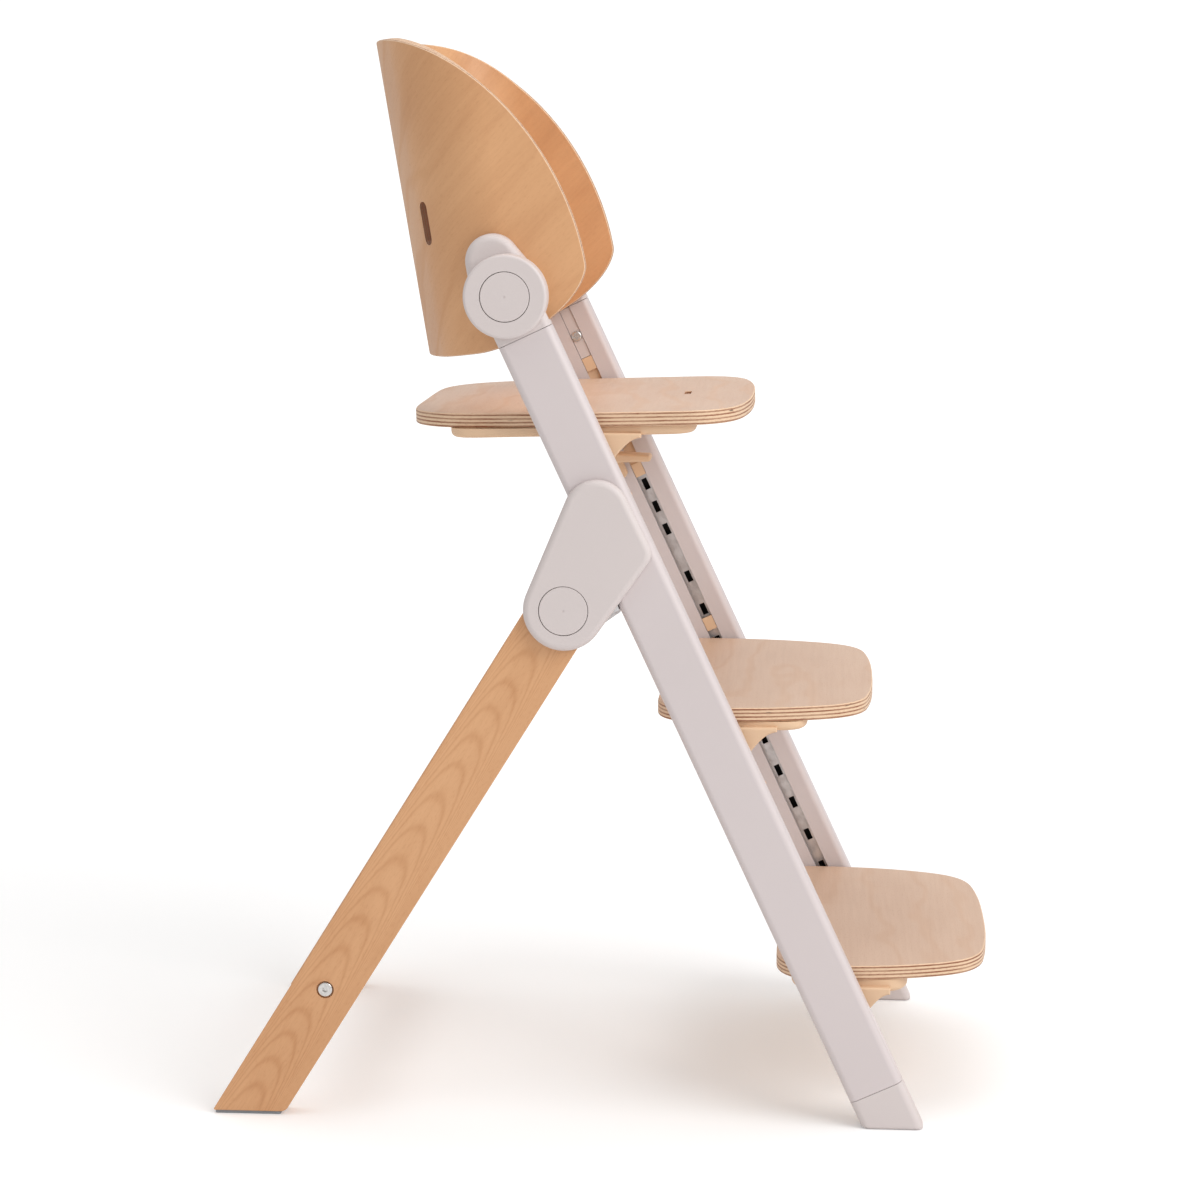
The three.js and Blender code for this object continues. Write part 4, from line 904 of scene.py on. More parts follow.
def plan_point(distance):
    """Point and outward normal of the shell's outer face, by distance round the bend."""
    if distance <= WIDE_ARC:
        angle = distance / BACK_RADIUS
        centre, radius = Vector((0, BACK_RADIUS)), BACK_RADIUS
    elif distance <= WIDE_ARC + TIGHT_ARC:
        angle = ARC_TURN + (distance - WIDE_ARC) / SIDE_RADIUS
        centre, radius = Vector((SIDE_REACH, SIDE_CENTRE_DEPTH)), SIDE_RADIUS
    else:
        return Vector((SHELL_HALF, SIDE_CENTRE_DEPTH + distance - WIDE_ARC - TIGHT_ARC)), Vector((1, 0))
    normal = Vector((math.sin(angle), -math.cos(angle)))
    return centre + radius * normal, normal


def crown_height(depth):
    share = min(max(depth, 0) / WING_DEPTH, 1)
    return WING_TIP_HEIGHT + (BACK_HEIGHT - WING_TIP_HEIGHT) * (1 - share ** CROWN_POWER) ** (1 / CROWN_POWER)


def skirt_height(depth):
    share = min(max((depth - SKIRT_START) / (WING_DEPTH - SKIRT_START), 0), 1)
    return WING_TIP_HEIGHT * (1 - (1 - share ** SKIRT_POWER) ** (1 / SKIRT_POWER))


BACK_AXES = Matrix((
    (1, 0, 0),
    (0, -math.cos(BACK_LEAN), math.sin(BACK_LEAN)),
    (0, math.sin(BACK_LEAN), math.cos(BACK_LEAN)),
))
BACK_ORIGIN = PIVOT - BACK_AXES @ Vector((0, BACK_PIVOT_DEPTH, BACK_PIVOT_HEIGHT))


def on_backrest(x, depth, height):
    return BACK_ORIGIN + BACK_AXES @ Vector((x, depth, height))


def sheet_point(distance, height, inset):
    """A point of the bent sheet: round the bend, up the back and in from its outer face."""
    (x, depth), (nx, nd) = plan_point(abs(distance))
    side = math.copysign(1, distance)
    return on_backrest(side * (x - inset * nx), depth - inset * nd, height)


def sheet_depth(point):
    """The share of the sheet's thickness at a point of the chair."""
    local = BACK_AXES.transposed() @ (point - BACK_ORIGIN)
    x, depth = abs(local.x), local.y
    if depth > SIDE_CENTRE_DEPTH and x > SIDE_REACH:
        inset = SHELL_HALF - x
    elif math.atan2(x, BACK_RADIUS - depth) > ARC_TURN:
        inset = SIDE_RADIUS - math.hypot(x - SIDE_REACH, depth - SIDE_CENTRE_DEPTH)
    else:
        inset = BACK_RADIUS - math.hypot(x, depth - BACK_RADIUS)
    return inset / BACK_THICK


def rim_outline(columns):
    """The flat outline of the sheet in (distance, height): along the crown and back along the skirt."""
    crown, skirt = [], []
    for k in range(columns + 1):
        distance = 0.99998 * PLAN_LENGTH * math.sin(math.pi * (k / columns - 0.5))
        depth = plan_point(abs(distance))[0].y
        crown.append(Vector((distance, crown_height(depth))))
        skirt.append(Vector((distance, skirt_height(depth))))
    return crown + skirt[::-1]


def slot_distance():
    """How far round the bend a belt slot stands."""
    distance = 0.0
    while plan_point(distance)[0].y < BELT_SLOT_DEPTH:
        distance += 0.0005
    return distance


def fold_lines():
    """Where the flat sheet is divided so that it can bend."""
    wide = [WIDE_ARC * k / 20 for k in range(20)]
    tight = [WIDE_ARC + TIGHT_ARC * k / 32 for k in range(33)]
    return [-distance for distance in wide[1:] + tight] + wide + tight


def bend(sheet):
    """Bends the flat sheet, keeping its flat shape as the UV map of its grain."""
    flat = [vertex.co.copy() for vertex in sheet.data.vertices]
    for vertex, (distance, height, through) in zip(sheet.data.vertices, flat):
        vertex.co = sheet_point(distance, height, through)
    layer = sheet.data.uv_layers.new(name="sheet")
    for loop in sheet.data.loops:
        distance, height, through = flat[loop.vertex_index]
        layer.data[loop.index].uv = (distance if through < BACK_THICK / 2 else 0.4 - distance, height)
    with editing(sheet):
        bpy.ops.mesh.normals_make_consistent(inside=False)


def cut_belt_slot(sheet, middle):
    """Cuts a belt slot in the flat sheet, rounds its rims and marks its walls for their darker colour, which is
    painted shade.
    """
    half, reach = BELT_SLOT_HALF
    low, high = BELT_SLOT_HEIGHT - reach, BELT_SLOT_HEIGHT + reach

    def in_slot(point, room):
        return abs(point.x - middle) < half + room and low - room < point.y < high + room

    outline = rectangle(middle - half, middle + half, low, high, half, 10)
    carve(sheet, prism("slot", outline, -BACK_THICK, 2 * BACK_THICK))
    for level in (0, BACK_THICK):
        round_edges(sheet, SLOT_RIM, 2, lambda point: abs(point.z - level) < 1e-6 and in_slot(point, NEAR))
    # the slot's walls take the third material, a darker painted shade
    for face in sheet.data.polygons:
        if in_slot(face.center, GAP) and SLOT_RIM < face.center.z < BACK_THICK - SLOT_RIM:
            face.material_index = 2


def bent_sheet():
    """The shell: cut flat with its two belt slots, divided and bent."""
    edge = sizes().back_edge
    sheet = prism("sheet", rim_outline(132), 0, BACK_THICK, edge, edge, 4)
    for middle in (-slot_distance(), slot_distance()):
        cut_belt_slot(sheet, middle)
    with editing(sheet):
        for distance in fold_lines():
            bpy.ops.mesh.select_all(action="SELECT")
            bpy.ops.mesh.bisect(plane_co=(distance, 0, 0), plane_no=(1, 0, 0), threshold=0.000001)
    bend(sheet)
    return sheet


def screw_bore(side):
    """A cutter for the screw that holds the shell to an arm."""
    along = PIVOT_ALONG + ARM_LENGTH
    bore = hole(0, along, SCREW_RADIUS + GAP, SHELL_HALF - 2 * CUT, SHELL_HALF + CUT, 32)
    bore.data.transform(ON_LEG)
    if side < 0:
        bore.data.transform(MIRROR)
        bore.data.flip_normals()
    return bore


class HIGHCHAIR_OT_backrest(Operator):
    """Bends the plywood backrest and cuts its belt slots"""

    bl_idname = "high_chair.backrest"
    bl_label = "Backrest"

    def execute(self, context):
        shell = bent_sheet()
        carve(shell, screw_bore(1), screw_bore(-1))
        mark_plies(shell, sheet_depth)
        finish_piece(shell, "backrest_shell", "backrest", "bent plywood")
        return {"FINISHED"}


class HIGHCHAIR_OT_arms(Operator):
    """Makes the two arms that carry the backrest"""

    bl_idname = "high_chair.arms"
    bl_label = "Backrest arms"

    def execute(self, context):
        top = PIVOT_ALONG + ARM_LENGTH
        outline = belt(((0, PIVOT_ALONG, ARM_PIVOT_RADIUS), (0, top, ARM_BOSS_RADIUS)))
        arm = across("arm", outline, ARM_INNER, ARM_OUTER, sizes().moulded_edge, sizes().boss_edge, 7)
        axle = hole(0, PIVOT_ALONG, AXLE_RADIUS + GAP, ARM_INNER - CUT, ARM_OUTER + CUT)
        screw_end = (ARM_INNER + ARM_OUTER) / 2 + GAP
        screw = hole(0, top, SCREW_RADIUS + GAP, ARM_INNER - CUT, screw_end, 32)
        carve(arm, axle, screw)
        arm.data.transform(ON_LEG)
        finish_pair(arm, "backrest_arm", "greige", "backrest")
        return {"FINISHED"}


# ---- front legs ----------------------------------------------------------------------------------
def leg_corners(x0):
    """The leg's rounded corners in (x, behind): outer rear, outer front, inner front, inner rear."""
    half, r = sizes().leg_width / 2, sizes().leg_corner
    quarter = math.pi / 2
    return (
        arc(LEG_OUTER - r, half - r, r, quarter, 0),
        arc(LEG_OUTER - r, r - half, r, 0, -quarter),
        arc(x0 + r, r - half, r, -quarter, -2 * quarter),
        arc(x0 + r, half - r, r, 2 * quarter, quarter),
    )


def leg_outline(x0=LEG_INNER):
    """The leg's closed outline, from an inner face at x0."""
    return [point for corner in leg_corners(x0) for point in corner]


def leg_section():
    """The open section: a slot in the inner face, a channel behind it, and the rail's groove."""
    slot = sizes().slot_width / 2
    chamber = sizes().leg_width / 2 - LEG_WALL
    back = LEG_OUTER - LEG_INNER - LEG_WALL
    chamfer = sizes().leg_corner - LEG_WALL
    cavity = [
        (0, slot),
        (SLOT_LIP, slot),
        (SLOT_LIP, CHANNEL_HALF),
        (RAIL_FRONT - GAP, CHANNEL_HALF),
        (RAIL_FRONT - GAP, GROOVE_HALF),
        (RAIL_BACK + GAP, GROOVE_HALF),
        (RAIL_BACK + GAP, GROOVE_HALF - LEDGE_WIDTH),
        (LEDGE_BACK, GROOVE_HALF - LEDGE_WIDTH),
        (LEDGE_BACK, GROOVE_HALF + CHANNEL_WALL),
        (SLOT_LIP, GROOVE_HALF + CHANNEL_WALL),
        (SLOT_LIP, chamber - chamfer),
        (SLOT_LIP + chamfer, chamber),
        (back - chamfer, chamber),
        (back, chamber - chamfer),
    ]
    *corners, inner_rear = leg_corners(LEG_INNER)
    outside = inner_rear + [point for corner in corners for point in corner]
    front = [Vector((LEG_INNER + depth, -behind)) for depth, behind in cavity]
    rear = [Vector((LEG_INNER + depth, behind)) for depth, behind in reversed(cavity)]
    return outside + front + rear


def in_chamber(point):
    """Whether a point of the leg's own frame lies on the wall of its closed rear chamber."""
    depth, behind = point.x - LEG_INNER, abs(point.y)
    reach = sizes().leg_width / 2 - LEG_WALL + GAP
    back = LEG_OUTER - LEG_INNER - LEG_WALL + GAP
    beyond_rail = depth > LEDGE_BACK - GAP or behind > GROOVE_HALF + CHANNEL_WALL - GAP
    return SLOT_LIP - GAP < depth < back and behind < reach and beyond_rail


def spigot(low, high):
    """The block inside the leg that keys an end piece into it."""
    half = sizes().leg_width / 2 - sizes().leg_corner
    return block("spigot", LEG_INNER + LEDGE_BACK + GAP, LEG_OUTER - LEG_WALL - GAP, -half, half, low, high)


class HIGHCHAIR_OT_front_legs(Operator):
    """Makes the aluminium front legs and their feet"""

    bl_idname = "high_chair.front_legs"
    bl_label = "Front legs and feet"

    def execute(self, context):
        leg = prism("leg", leg_section(), LEG_LOW, LEG_HIGH, SEAM, SEAM, 2)
        # the walls of the closed chamber take the second material, a near-black painted shade
        for face in leg.data.polygons:
            face.material_index = int(in_chamber(face.center))
        leg.data.transform(ON_LEG)
        finish_pair(leg, "front_leg", "powder coat")
        top = LEG_LOW - GAP
        foot = prism("foot", leg_outline(), -2 * CUT, top, 0.0, SEAM, 2)
        foot.data.transform(ON_LEG)
        with editing(foot):
            bpy.ops.mesh.bisect(plane_co=(0, 0, 0), plane_no=(0, 0, 1), use_fill=True, clear_inner=True)
        round_rim(foot, 0.0, FOOT_EDGE, 4)
        key = spigot(top - 0.001, top + 0.018)
        key.data.transform(ON_LEG)
        weld(foot, key)
        finish_pair(foot, "front_foot", "greige")
        return {"FINISHED"}


def push_button(face, behind, along):
    """A round push button with a small dimple in its middle."""
    edge = sizes().button_edge
    disc = circle(behind, along, BUTTON_RADIUS, 96)
    button = across("button", disc, face - BUTTON_THICK, face, edge, edge, 3)
    dimple = across("dimple", circle(behind, along, 0.0009, 24), face - 0.0004, face + 0.002)
    return carve(button, dimple)


def button_bore(face, behind, along):
    return hole(behind, along, BUTTON_RADIUS + BUTTON_GAP, face - BUTTON_FLOOR, face + CUT, 96)


class HIGHCHAIR_OT_top_caps(Operator):
    """Makes the round caps at the top of the front legs and their buttons"""

    bl_idname = "high_chair.top_caps"
    bl_label = "Top caps"

    def execute(self, context):
        low = LEG_HIGH + GAP
        lap = ARM_OUTER + GAP
        face = LEG_OUTER + DISC_PROUD
        cap = prism("cap", leg_outline(), low, LEG_HIGH + CAP_SHOULDER, SEAM, 0.0012, 2)
        neck = prism("neck", leg_outline(lap), low + 0.001, PIVOT_ALONG)
        disc = across("disc", circle(0, PIVOT_ALONG, DISC_RADIUS, 128), lap, face,
                      sizes().moulded_edge, sizes().disc_edge, 5)
        weld(cap, neck, disc, spigot(low - 0.018, low + 0.001))
        axle = hole(0, PIVOT_ALONG, AXLE_RADIUS + GAP, lap - CUT, face)
        floor = face - BUTTON_FLOOR
        head = hole(0, PIVOT_ALONG, AXLE_HEAD_RADIUS + GAP, floor - AXLE_HEAD_THICK - GAP, face)
        carve(cap, button_bore(face, 0, PIVOT_ALONG), axle, head)
        cap.data.transform(ON_LEG)
        finish_pair(cap, "top_cap", "greige")
        button = push_button(face, 0, PIVOT_ALONG)
        button.data.transform(ON_LEG)
        finish_pair(button, "fold_button", "greige", OWN)
        return {"FINISHED"}


# ---- hinges --------------------------------------------------------------------------------------
def hinge_outline(inset=0.0):
    return belt([(behind, along, radius - inset) for behind, along, radius in HINGE_CIRCLES], 120)


class HIGHCHAIR_OT_hinges(Operator):
    """Makes the hinge covers and their buttons"""

    bl_idname = "high_chair.hinges"
    bl_label = "Hinge covers"

    def execute(self, context):
        face = LEG_OUTER + HINGE_PROUD
        cover = across("cover", hinge_outline(), LEG_OUTER + GAP, face, 0.0004, sizes().cover_edge, 7)
        near = sizes().leg_width / 2 + GAP
        lobe = HINGE_CIRCLES[0][2]
        sill = HINGE_ALONG + lobe / 2
        far = HINGE_BEHIND + lobe + CUT
        high = HINGE_ALONG + 0.15
        keep = [(near, sill), (HINGE_BEHIND, sill), (far, sill + lobe / 2), (far, high), (near, high)]
        band = across("band", hinge_outline(), REAR_INNER, LEG_OUTER + 0.0012, 0.0004)
        carve(band, across("hollow", hinge_outline(HINGE_RIM), REAR_INNER - CUT, LEG_OUTER + GAP))
        boolean(band, across("keep", keep, REAR_INNER - 2 * CUT, LEG_OUTER + 2 * CUT), "INTERSECT")
        weld(cover, band)
        carve(cover, button_bore(face, HINGE_BEHIND, HINGE_ALONG))
        cover.data.transform(ON_LEG)
        finish_pair(cover, "hinge_cover", "greige")
        button = push_button(face, HINGE_BEHIND, HINGE_ALONG)
        button.data.transform(ON_LEG)
        finish_pair(button, "hinge_button", "greige", OWN)
        return {"FINISHED"}


# ---- rear frame ----------------------------------------------------------------------------------
def rear_level(behind, above):
    """Height in the rear frame of the level plane this far above the floor."""
    return (above - HINGE.z - behind * math.sin(REAR_TILT)) / math.cos(REAR_TILT)


def rear_outline():
    sole = PAD_THICK + GAP
    front, back = rear_level(-REAR_HALF, sole), rear_level(REAR_HALF, sole)
    top = arc(0, 0, REAR_HALF, 0, math.pi, 40)
    foot = rounded([
        (-REAR_HALF, front, REAR_FOOT_CORNER),
        (REAR_HALF, back, REAR_FOOT_CORNER / 2),
        (REAR_HALF, 0, 0),
        (-REAR_HALF, 0, 0),
    ], 6)
    return top + foot[:-2]


class HIGHCHAIR_OT_rear_frame(Operator):
    """Makes the beech rear legs, their crossbar and pads"""

    bl_idname = "high_chair.rear_frame"
    bl_label = "Rear frame"

    def execute(self, context):
        edge = sizes().beech_edge
        leg = across("leg", rear_outline(), REAR_INNER, REAR_OUTER, edge, edge, 4)
        low, high = REAR_INNER - CUT, REAR_OUTER + CUT
        axle = hole(0, 0, AXLE_RADIUS + GAP, low, high)
        head = hole(0, 0, AXLE_HEAD_RADIUS + 2 * GAP, REAR_OUTER - 2 * AXLE_HEAD_THICK, high)
        bolt = hole(0, -BAR_DROP, BOLT_RADIUS + GAP, low, high, 32)
        sink = hole(0, -BAR_DROP, BOLT_HEAD_RADIUS + SINK_GAP, REAR_OUTER - BOLT_SINK, high, 64)
        carve(leg, axle, head, bolt, sink)
        leg.data.transform(ON_REAR)
        finish_pair(leg, "rear_leg", "leg beech", "rear_frame")
        section = rectangle(-BAR_HALF_WIDTH, BAR_HALF_WIDTH, -BAR_DROP - BAR_HALF_THICK,
                            -BAR_DROP + BAR_HALF_THICK, BAR_CORNER)
        reach = REAR_INNER - GAP
        bar = across("bar", section, -reach, reach, 0.0008, 0.0008, 2)
        for x0 in (reach - BOLT_GRIP - GAP, -reach - CUT / 2):
            carve(bar, hole(0, -BAR_DROP, BOLT_RADIUS + GAP, x0, x0 + BOLT_GRIP + CUT / 2, 32))
        bar.data.transform(ON_REAR)
        finish_piece(bar, "rear_crossbar", "rear_frame", "bar beech")
        low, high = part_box("rear_foot_pad_left")
        outline = rectangle(low.x, high.x, low.y, high.y, PAD_INSET)
        pad = prism("pad", outline, 0.0, PAD_THICK, 0.0004, 0.0006, 2)
        finish_pair(pad, "rear_foot_pad", "pad", "rear_frame")
        return {"FINISHED"}


# ---- carriers, gliders and levers ----------------------------------------------------------------
def from_plate(behind, along):
    """A point of a plate's level frame from its place along the leg."""
    return Vector((
        along * math.sin(LEG_TILT) + behind * math.cos(LEG_TILT),
        along * math.cos(LEG_TILT) - behind * math.sin(LEG_TILT),
    ))


LEVER_PIVOT = from_plate((COLUMN_AHEAD + COLUMN_REAR) / 2, -LEVER_DROP)


def column_outline(front, reach, fall, thick):
    """A bracket column along the leg, swept forward into the tray."""
    top = -sizes().ply - GAP - thick / 2
    under = top - thick / 2
    rounding = (COLUMN_REAR - COLUMN_AHEAD) / 2
    bend, bend_fall = GUSSET_BEND
    start = Vector((-front, under))
    column = from_plate(COLUMN_AHEAD, -GUSSET_DROP)
    foot = from_plate(COLUMN_AHEAD, rounding - COLUMN_DROP)
    corners = (from_plate(COLUMN_AHEAD, -COLUMN_DROP), from_plate(COLUMN_REAR, -COLUMN_DROP))
    heel = from_plate(COLUMN_REAR, rounding - COLUMN_DROP)
    back = from_plate(COLUMN_REAR, -GUSSET_DROP / 2)
    return [
        Vector((-front, top)),
        start,
        *curve((start, Vector((-reach, -fall)), Vector((-bend, -bend_fall)), column), 20),
        foot,
        *curve((foot, *corners, heel), 14),
        back,
        Vector((back.x + rounding, top)),
    ]


def tray(back, front, thick, opening):
    """The moulded tray under a plate, with ribs between its pockets."""
    top = -sizes().ply - GAP
    outline = rectangle(-TRAY_HALF, TRAY_HALF, -front, back, TRAY_CORNER, 12)
    piece = prism("tray", outline, top - thick, top, min(0.005, thick * 0.6), 0.0004, 5)
    span = (2 * (TRAY_HALF - TRAY_CORNER) - 4 * TRAY_WALL) / 3
    for k in range(3):
        x0 = -TRAY_HALF + TRAY_CORNER + TRAY_WALL + k * (span + TRAY_WALL)
        pocket = rectangle(x0, x0 + span, 2 * TRAY_WALL - front, back - 2 * TRAY_WALL, 0.003, 4)
        carve(piece, prism("pocket", pocket, top - thick - CUT / 2, top - thick + TRAY_POCKET, 0.0, 0.001, 2))
    if opening:
        carve(piece, prism("opening", crotch_outline(CROTCH_MARGIN), top - thick - CUT / 2, top + CUT / 2))
    return piece


def carrier(back, front, thick, gusset, pitch, opening, bore):
    """A tray with a bracket column at each side, in the plate's frame."""
    piece = tray(back, front, thick, opening)
    column = across("column", column_outline(*gusset, thick), COLUMN_INNER, COLUMN_OUTER, 0.0022, 0.0022, 4)
    carve(column, hole(*bore, COLUMN_INNER - CUT, COLUMN_OUTER + CUT, 32))
    column.data.transform(Matrix.Rotation(pitch, 4, "X"))
    return weld(piece, column, mirror_copy(column))


class HIGHCHAIR_OT_carriers(Operator):
    """Makes the moulded trays and brackets under the three plates"""

    bl_idname = "high_chair.carriers"
    bl_label = "Carriers"

    def execute(self, context):
        pin = (*LEVER_PIVOT, LEVER_PIN + GAP)
        screw = (*from_plate(0, -PLATE_RISE), SCREW_RADIUS + GAP)
        rows = (
            ("seat", "seat", ON_SEAT, (0.097, 0.107, 0.0075, SWEEP, SEAT_PITCH, True, pin)),
            ("footrest", "footrest", ON_FOOTREST, (0.025, 0.088, 0.0075, SWEEP, 0.0, False, pin)),
            ("step", "root", ON_STEP, (0.025, 0.073, 0.0115, STEP_SWEEP, 0.0, False, screw)),
        )
        for name, body, place, shape in rows:
            piece = carrier(*shape)
            piece.data.transform(place)
            finish_piece(piece, f"{name}_carrier", body, "tan")
        return {"FINISHED"}


def glider(centre, reach):
    """A carriage in the leg's channel: end blocks in the slot and a neck that holds the column."""
    running = CHANNEL_HALF - RUN
    x0 = LEG_INNER + SLOT_LIP + GAP
    piece = block("tongue", x0, LEG_INNER + RAIL_FRONT - RUN, -running, running,
                  centre - reach, centre + reach, GLIDER_EDGE)
    for low in (-reach, reach - GLIDER_BLOCK):
        weld(piece, block("block", LEG_INNER + GAP, x0 + 0.001, -SLOT_SIDE, SLOT_SIDE,
                          centre + low, centre + low + GLIDER_BLOCK, GLIDER_EDGE))
    weld(piece, block("neck", COLUMN_OUTER + GAP, x0 + 0.001, -SLOT_SIDE, PRONG_HALF - 0.00075,
                      centre - GLIDER_NECK_HALF, centre + GLIDER_NECK_HALF, GLIDER_EDGE))
    return piece


def prong_window(middle):
    half, reach = PRONG_HALF + RUN, PRONG_REACH + RUN
    return block("window", LEG_INNER - CUT / 2, LEG_INNER + RAIL_FRONT + CUT / 2, -half, half,
                 middle - reach, middle + reach)


class HIGHCHAIR_OT_gliders(Operator):
    """Makes the gliders that run in the legs and the plugs above them"""

    bl_idname = "high_chair.gliders"
    bl_label = "Gliders and plugs"

    def execute(self, context):
        rows = (("seat", SEAT_CENTRE, SEAT_HOLE_PITCH), ("footrest", FOOTREST_CENTRE, FOOTREST_HOLE_PITCH))
        for name, centre, pitch in rows:
            piece = glider(centre, GLIDER_HALF)
            carve(piece, prong_window(centre - pitch), prong_window(centre + pitch))
            piece.data.transform(ON_LEG)
            finish_pair(piece, f"{name}_glider", "tan", name)
        piece = glider(STEP_CENTRE, STEP_GLIDER_HALF)
        carve(piece, hole(0, STEP_CENTRE, SCREW_RADIUS + GAP, LEG_INNER - 3 * CUT, LEG_OUTER, 32))
        piece.data.transform(ON_LEG)
        finish_pair(piece, "step_glider", "tan")
        low = SEAT_CENTRE + GLIDER_HALF + GAP
        running = CHANNEL_HALF - RUN
        plug = block("tongue", LEG_INNER + SLOT_LIP + GAP, LEG_INNER + RAIL_FRONT - RUN, -running, running,
                     low, LEG_HIGH - GAP, GLIDER_EDGE)
        weld(plug, block("plug", LEG_INNER + 0.001, LEG_INNER + SLOT_LIP + 0.001, -SLOT_SIDE, SLOT_SIDE,
                         low, LEG_HIGH - GAP, GLIDER_EDGE))
        carve(plug, hole(0, STOP_SCREW_ALONG, STOP_SCREW_RADIUS + GAP, LEG_INNER - CUT / 2,
                         LEG_INNER + RAIL_FRONT, 32))
        plug.data.transform(ON_LEG)
        finish_pair(plug, "slot_stop", "greige")
        return {"FINISHED"}


class HIGHCHAIR_OT_levers(Operator):
    """Makes the thumb levers under the seat and the footrest"""

    bl_idname = "high_chair.levers"
    bl_label = "Levers"

    def execute(self, context):
        outer = COLUMN_INNER - GAP
        y, z = LEVER_PIVOT
        outline = belt(((y, z, LEVER_ROOT), (y - LEVER_LENGTH + LEVER_TIP, z, LEVER_TIP)), 48)
        for name, place in (("seat", ON_SEAT), ("footrest", ON_FOOTREST)):
            paddle = across("paddle", outline, outer - LEVER_REACH, outer, 0.0024, 0.0008, 5)
            weld(paddle, across("pin", circle(y, z, LEVER_PIN, 32), outer - 0.001, COLUMN_OUTER - GAP))
            paddle.data.transform(Matrix.Translation(place.translation))
            finish_pair(paddle, f"{name}_lever", "tan", OWN)
        return {"FINISHED"}


# ---- screws --------------------------------------------------------------------------------------
def button_screw(head_x, radius, head_radius, head_thick, shank, behind, along, hex_radius):
    """A domed screw with a hexagonal socket, its head towards the middle of the chair."""
    shoulder = head_x + head_thick
    head = across("head", circle(behind, along, head_radius, 48), head_x, shoulder, head_thick * 0.8, 0.0, 5)
    shaft = circle(behind, along, radius, 32)
    weld(head, across("shank", shaft, shoulder - SHANK_LAP, shoulder + shank, 0.0, 0.0004, 2))
    return carve(head, hole(behind, along, hex_radius, head_x - CUT / 2, head_x + head_thick * 0.65, 6))


class HIGHCHAIR_OT_screws(Operator):
    """Makes the screws and bolts"""

    bl_idname = "high_chair.screws"
    bl_label = "Screws and bolts"

    def execute(self, context):
        stop = button_screw(LEG_INNER - STOP_SCREW_PROUD, STOP_SCREW_RADIUS, STOP_SCREW_HEAD,
                            STOP_SCREW_HEAD_THICK, STOP_SCREW_SHANK, 0, STOP_SCREW_ALONG, STOP_SCREW_SOCKET)
        stop.data.transform(ON_LEG)
        finish_pair(stop, "stop_screw", "steel")
        low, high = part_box("backrest_screw_left")
        screw = button_screw(low.x, SCREW_RADIUS, SCREW_HEAD_RADIUS, SCREW_HEAD_THICK,
                             high.x - low.x - SCREW_HEAD_THICK, 0, PIVOT_ALONG + ARM_LENGTH, SOCKET_RADIUS)
        screw.data.transform(ON_LEG)
        finish_pair(screw, "backrest_screw", "steel", "backrest")
        low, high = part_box("step_screw_left")
        fixing = button_screw(low.x, SCREW_RADIUS, STEP_SCREW_HEAD_RADIUS, STEP_SCREW_HEAD_THICK,
                              high.x - low.x - STEP_SCREW_HEAD_THICK, 0, STEP_CENTRE, SOCKET_RADIUS)
        fixing.data.transform(ON_LEG)
        finish_pair(fixing, "step_screw", "steel")
        seat = REAR_OUTER - BOLT_SINK + GAP
        face = seat + BOLT_HEAD_THICK
        bolt = across("head", circle(0, -BAR_DROP, BOLT_HEAD_RADIUS, 64), seat, face, 0.0, 0.0011, 4)
        shaft = circle(0, -BAR_DROP, BOLT_RADIUS, 32)
        weld(bolt, across("shank", shaft, REAR_INNER - BOLT_GRIP, seat + SHANK_LAP))
        carve(bolt, hole(0, -BAR_DROP, SOCKET_RADIUS, face - BOLT_SOCKET_DEPTH, face + CUT / 2, 6))
        bolt.data.transform(ON_REAR)
        finish_pair(bolt, "crossbar_bolt", "steel", "rear_frame")
        return {"FINISHED"}


class HIGHCHAIR_OT_carried_steel(Operator):
    """Gives the rails, axles, brackets and lock bars of the frame their steel finish"""

    bl_idname = "high_chair.carried_steel"
    bl_label = "Rails, axles and locks"

    def execute(self, context):
        kept = {
            "height_rail": "zinc",
            "backrest_axle": "bright",
            "hinge_axle": "bright",
            "hinge_bracket": "zinc",
            "seat_lock": "bright",
            "footrest_lock": "bright",
        }
        for node, finish in kept.items():
            for side in SIDES:
                mesh = frame["nodes"][f"{node}_{side}"].data
                mesh.materials.clear()
                mesh.materials.append(MATERIALS[finish])
        return {"FINISHED"}


# ---- stage ---------------------------------------------------------------------------------------
def area_light(name, place, aim, size, power):
    bpy.ops.object.light_add(type="AREA", location=place)
    light = bpy.context.object
    light.name = name
    light.data.shape = "RECTANGLE"
    light.data.size, light.data.size_y = size
    light.data.energy = power
    light.rotation_euler = (Vector(aim) - Vector(place)).to_track_quat("-Z", "Y").to_euler()


def floor_material():
    material, tree, shader = start_material("Pale studio floor", 0.9)
    place = add(tree, "ShaderNodeTexCoord").outputs["Object"]
    cloud = scaled_noise(tree, place, (0.6, 0.6, 0.6))
    pale = mix_colour(tree, cloud, (0.90, 0.90, 0.90, 1), (0.92, 0.92, 0.92, 1))
    tree.links.new(pale, shader.inputs["Base Color"])
    shader.inputs["Specular IOR Level"].default_value = 0.0
    shader.inputs["Emission Color"].default_value = (1, 1, 1, 1)
    seen = add(tree, "ShaderNodeLightPath").outputs["Is Camera Ray"]
    away = add(tree, "ShaderNodeVectorMath", {0: place}, operation="LENGTH").outputs["Value"]
    glow = spread(tree, away, 0.5, 3.5, 0.15, 0.60)
    tree.links.new(maths(tree, "MULTIPLY", seen, glow), shader.inputs["Emission Strength"])
    return material


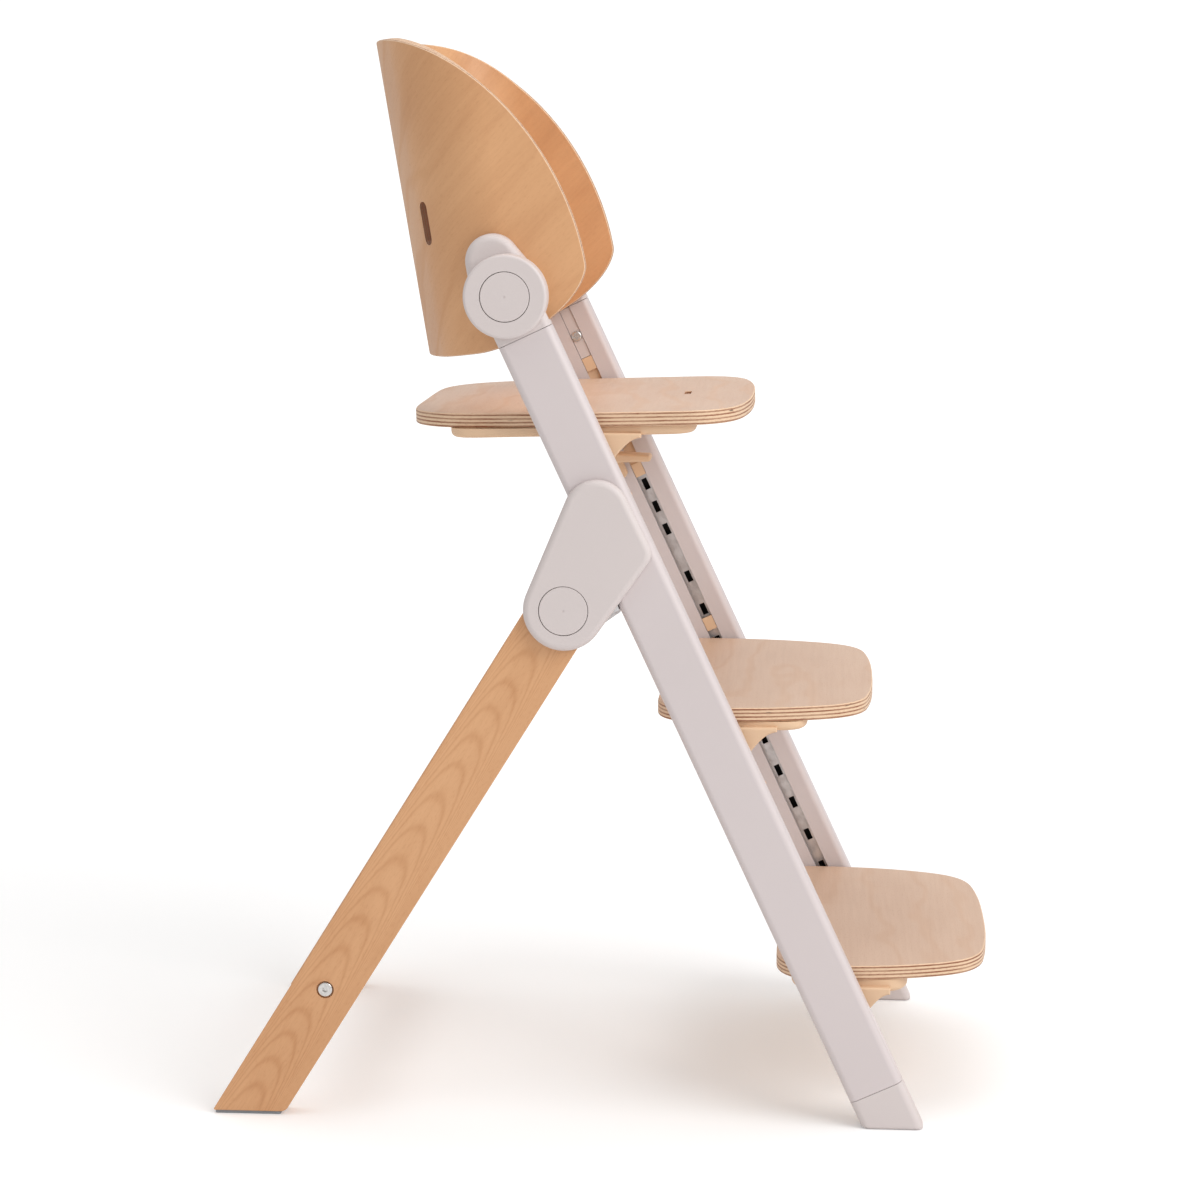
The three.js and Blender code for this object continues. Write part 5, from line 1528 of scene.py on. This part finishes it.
def studio_world():
    """White all round: bright to the camera, softer as light."""
    world = bpy.data.worlds.new("White studio")
    bpy.context.scene.world = world
    world.use_nodes = True
    tree = world.node_tree
    tree.nodes.clear()
    seen = add(tree, "ShaderNodeLightPath").outputs["Is Camera Ray"]
    strength = add(tree, "ShaderNodeMapRange", {"Value": seen, "To Min": 0.6, "To Max": 1.1}).outputs[0]
    sky = add(tree, "ShaderNodeBackground", {"Color": (1, 1, 1, 1), "Strength": strength})
    end = add(tree, "ShaderNodeOutputWorld")
    tree.links.new(sky.outputs[0], end.inputs["Surface"])


class HIGHCHAIR_OT_stage(Operator):
    """Sets the floor, the soft light and the camera"""

    bl_idname = "high_chair.stage"
    bl_label = "Stage"

    def execute(self, context):
        bpy.ops.object.select_all(action="DESELECT")
        bpy.ops.mesh.primitive_plane_add(size=FLOOR_SIZE, location=(0, 0, 0))
        floor = bpy.context.object
        floor.name = "studio_floor"
        floor.data.materials.append(floor_material())
        studio_world()
        area_light("key_light", (-1.7, -2.5, 2.4), (0, 0, 0.45), (2.4, 2.4), 66)
        area_light("top_light", (0.2, 0.1, 3.2), (0, 0, 0.3), (3.0, 3.0), 34)
        bpy.ops.object.camera_add(location=CAMERA_PLACE)
        camera = bpy.context.object
        camera.data.lens = CAMERA_LENS
        camera.data.sensor_width = CAMERA_SENSOR
        camera.rotation_euler = Vector(CAMERA_WAY).to_track_quat("-Z", "Y").to_euler()
        context.scene.camera = camera
        context.scene.view_settings.view_transform = "Standard"
        return {"FINISHED"}


# ---- add-on --------------------------------------------------------------------------------------
OPERATORS = (
    HIGHCHAIR_OT_stage,
    HIGHCHAIR_OT_front_legs,
    HIGHCHAIR_OT_top_caps,
    HIGHCHAIR_OT_hinges,
    HIGHCHAIR_OT_rear_frame,
    HIGHCHAIR_OT_backrest,
    HIGHCHAIR_OT_arms,
    HIGHCHAIR_OT_boards,
    HIGHCHAIR_OT_carriers,
    HIGHCHAIR_OT_gliders,
    HIGHCHAIR_OT_levers,
    HIGHCHAIR_OT_screws,
    HIGHCHAIR_OT_carried_steel,
)


class HIGHCHAIR_PT_pieces(Panel):
    """Lists the chair's pieces, sizes and colours"""

    bl_idname = "HIGHCHAIR_PT_pieces"
    bl_label = "High Chair"
    bl_space_type = "VIEW_3D"
    bl_region_type = "UI"
    bl_category = "High Chair"

    def draw(self, context):
        for operator in OPERATORS:
            self.layout.operator(operator.bl_idname)
        for group in (context.scene.high_chair_sizes, context.scene.high_chair_colours):
            box = self.layout.box()
            for name in group.__annotations__:
                box.prop(group, name)


CLASSES = (ChairSizes, ChairColours, *OPERATORS, HIGHCHAIR_PT_pieces)


def register():
    for cls in CLASSES:
        bpy.utils.register_class(cls)
    bpy.types.Scene.high_chair_sizes = PointerProperty(type=ChairSizes)
    bpy.types.Scene.high_chair_colours = PointerProperty(type=ChairColours)


def unregister():
    del bpy.types.Scene.high_chair_colours
    del bpy.types.Scene.high_chair_sizes
    for cls in reversed(CLASSES):
        bpy.utils.unregister_class(cls)


def main():
    register()
    make_materials()
    for operator in OPERATORS:
        group, name = operator.bl_idname.split(".")
        getattr(getattr(bpy.ops, group), name)()


if __name__ == "__main__":
    main()
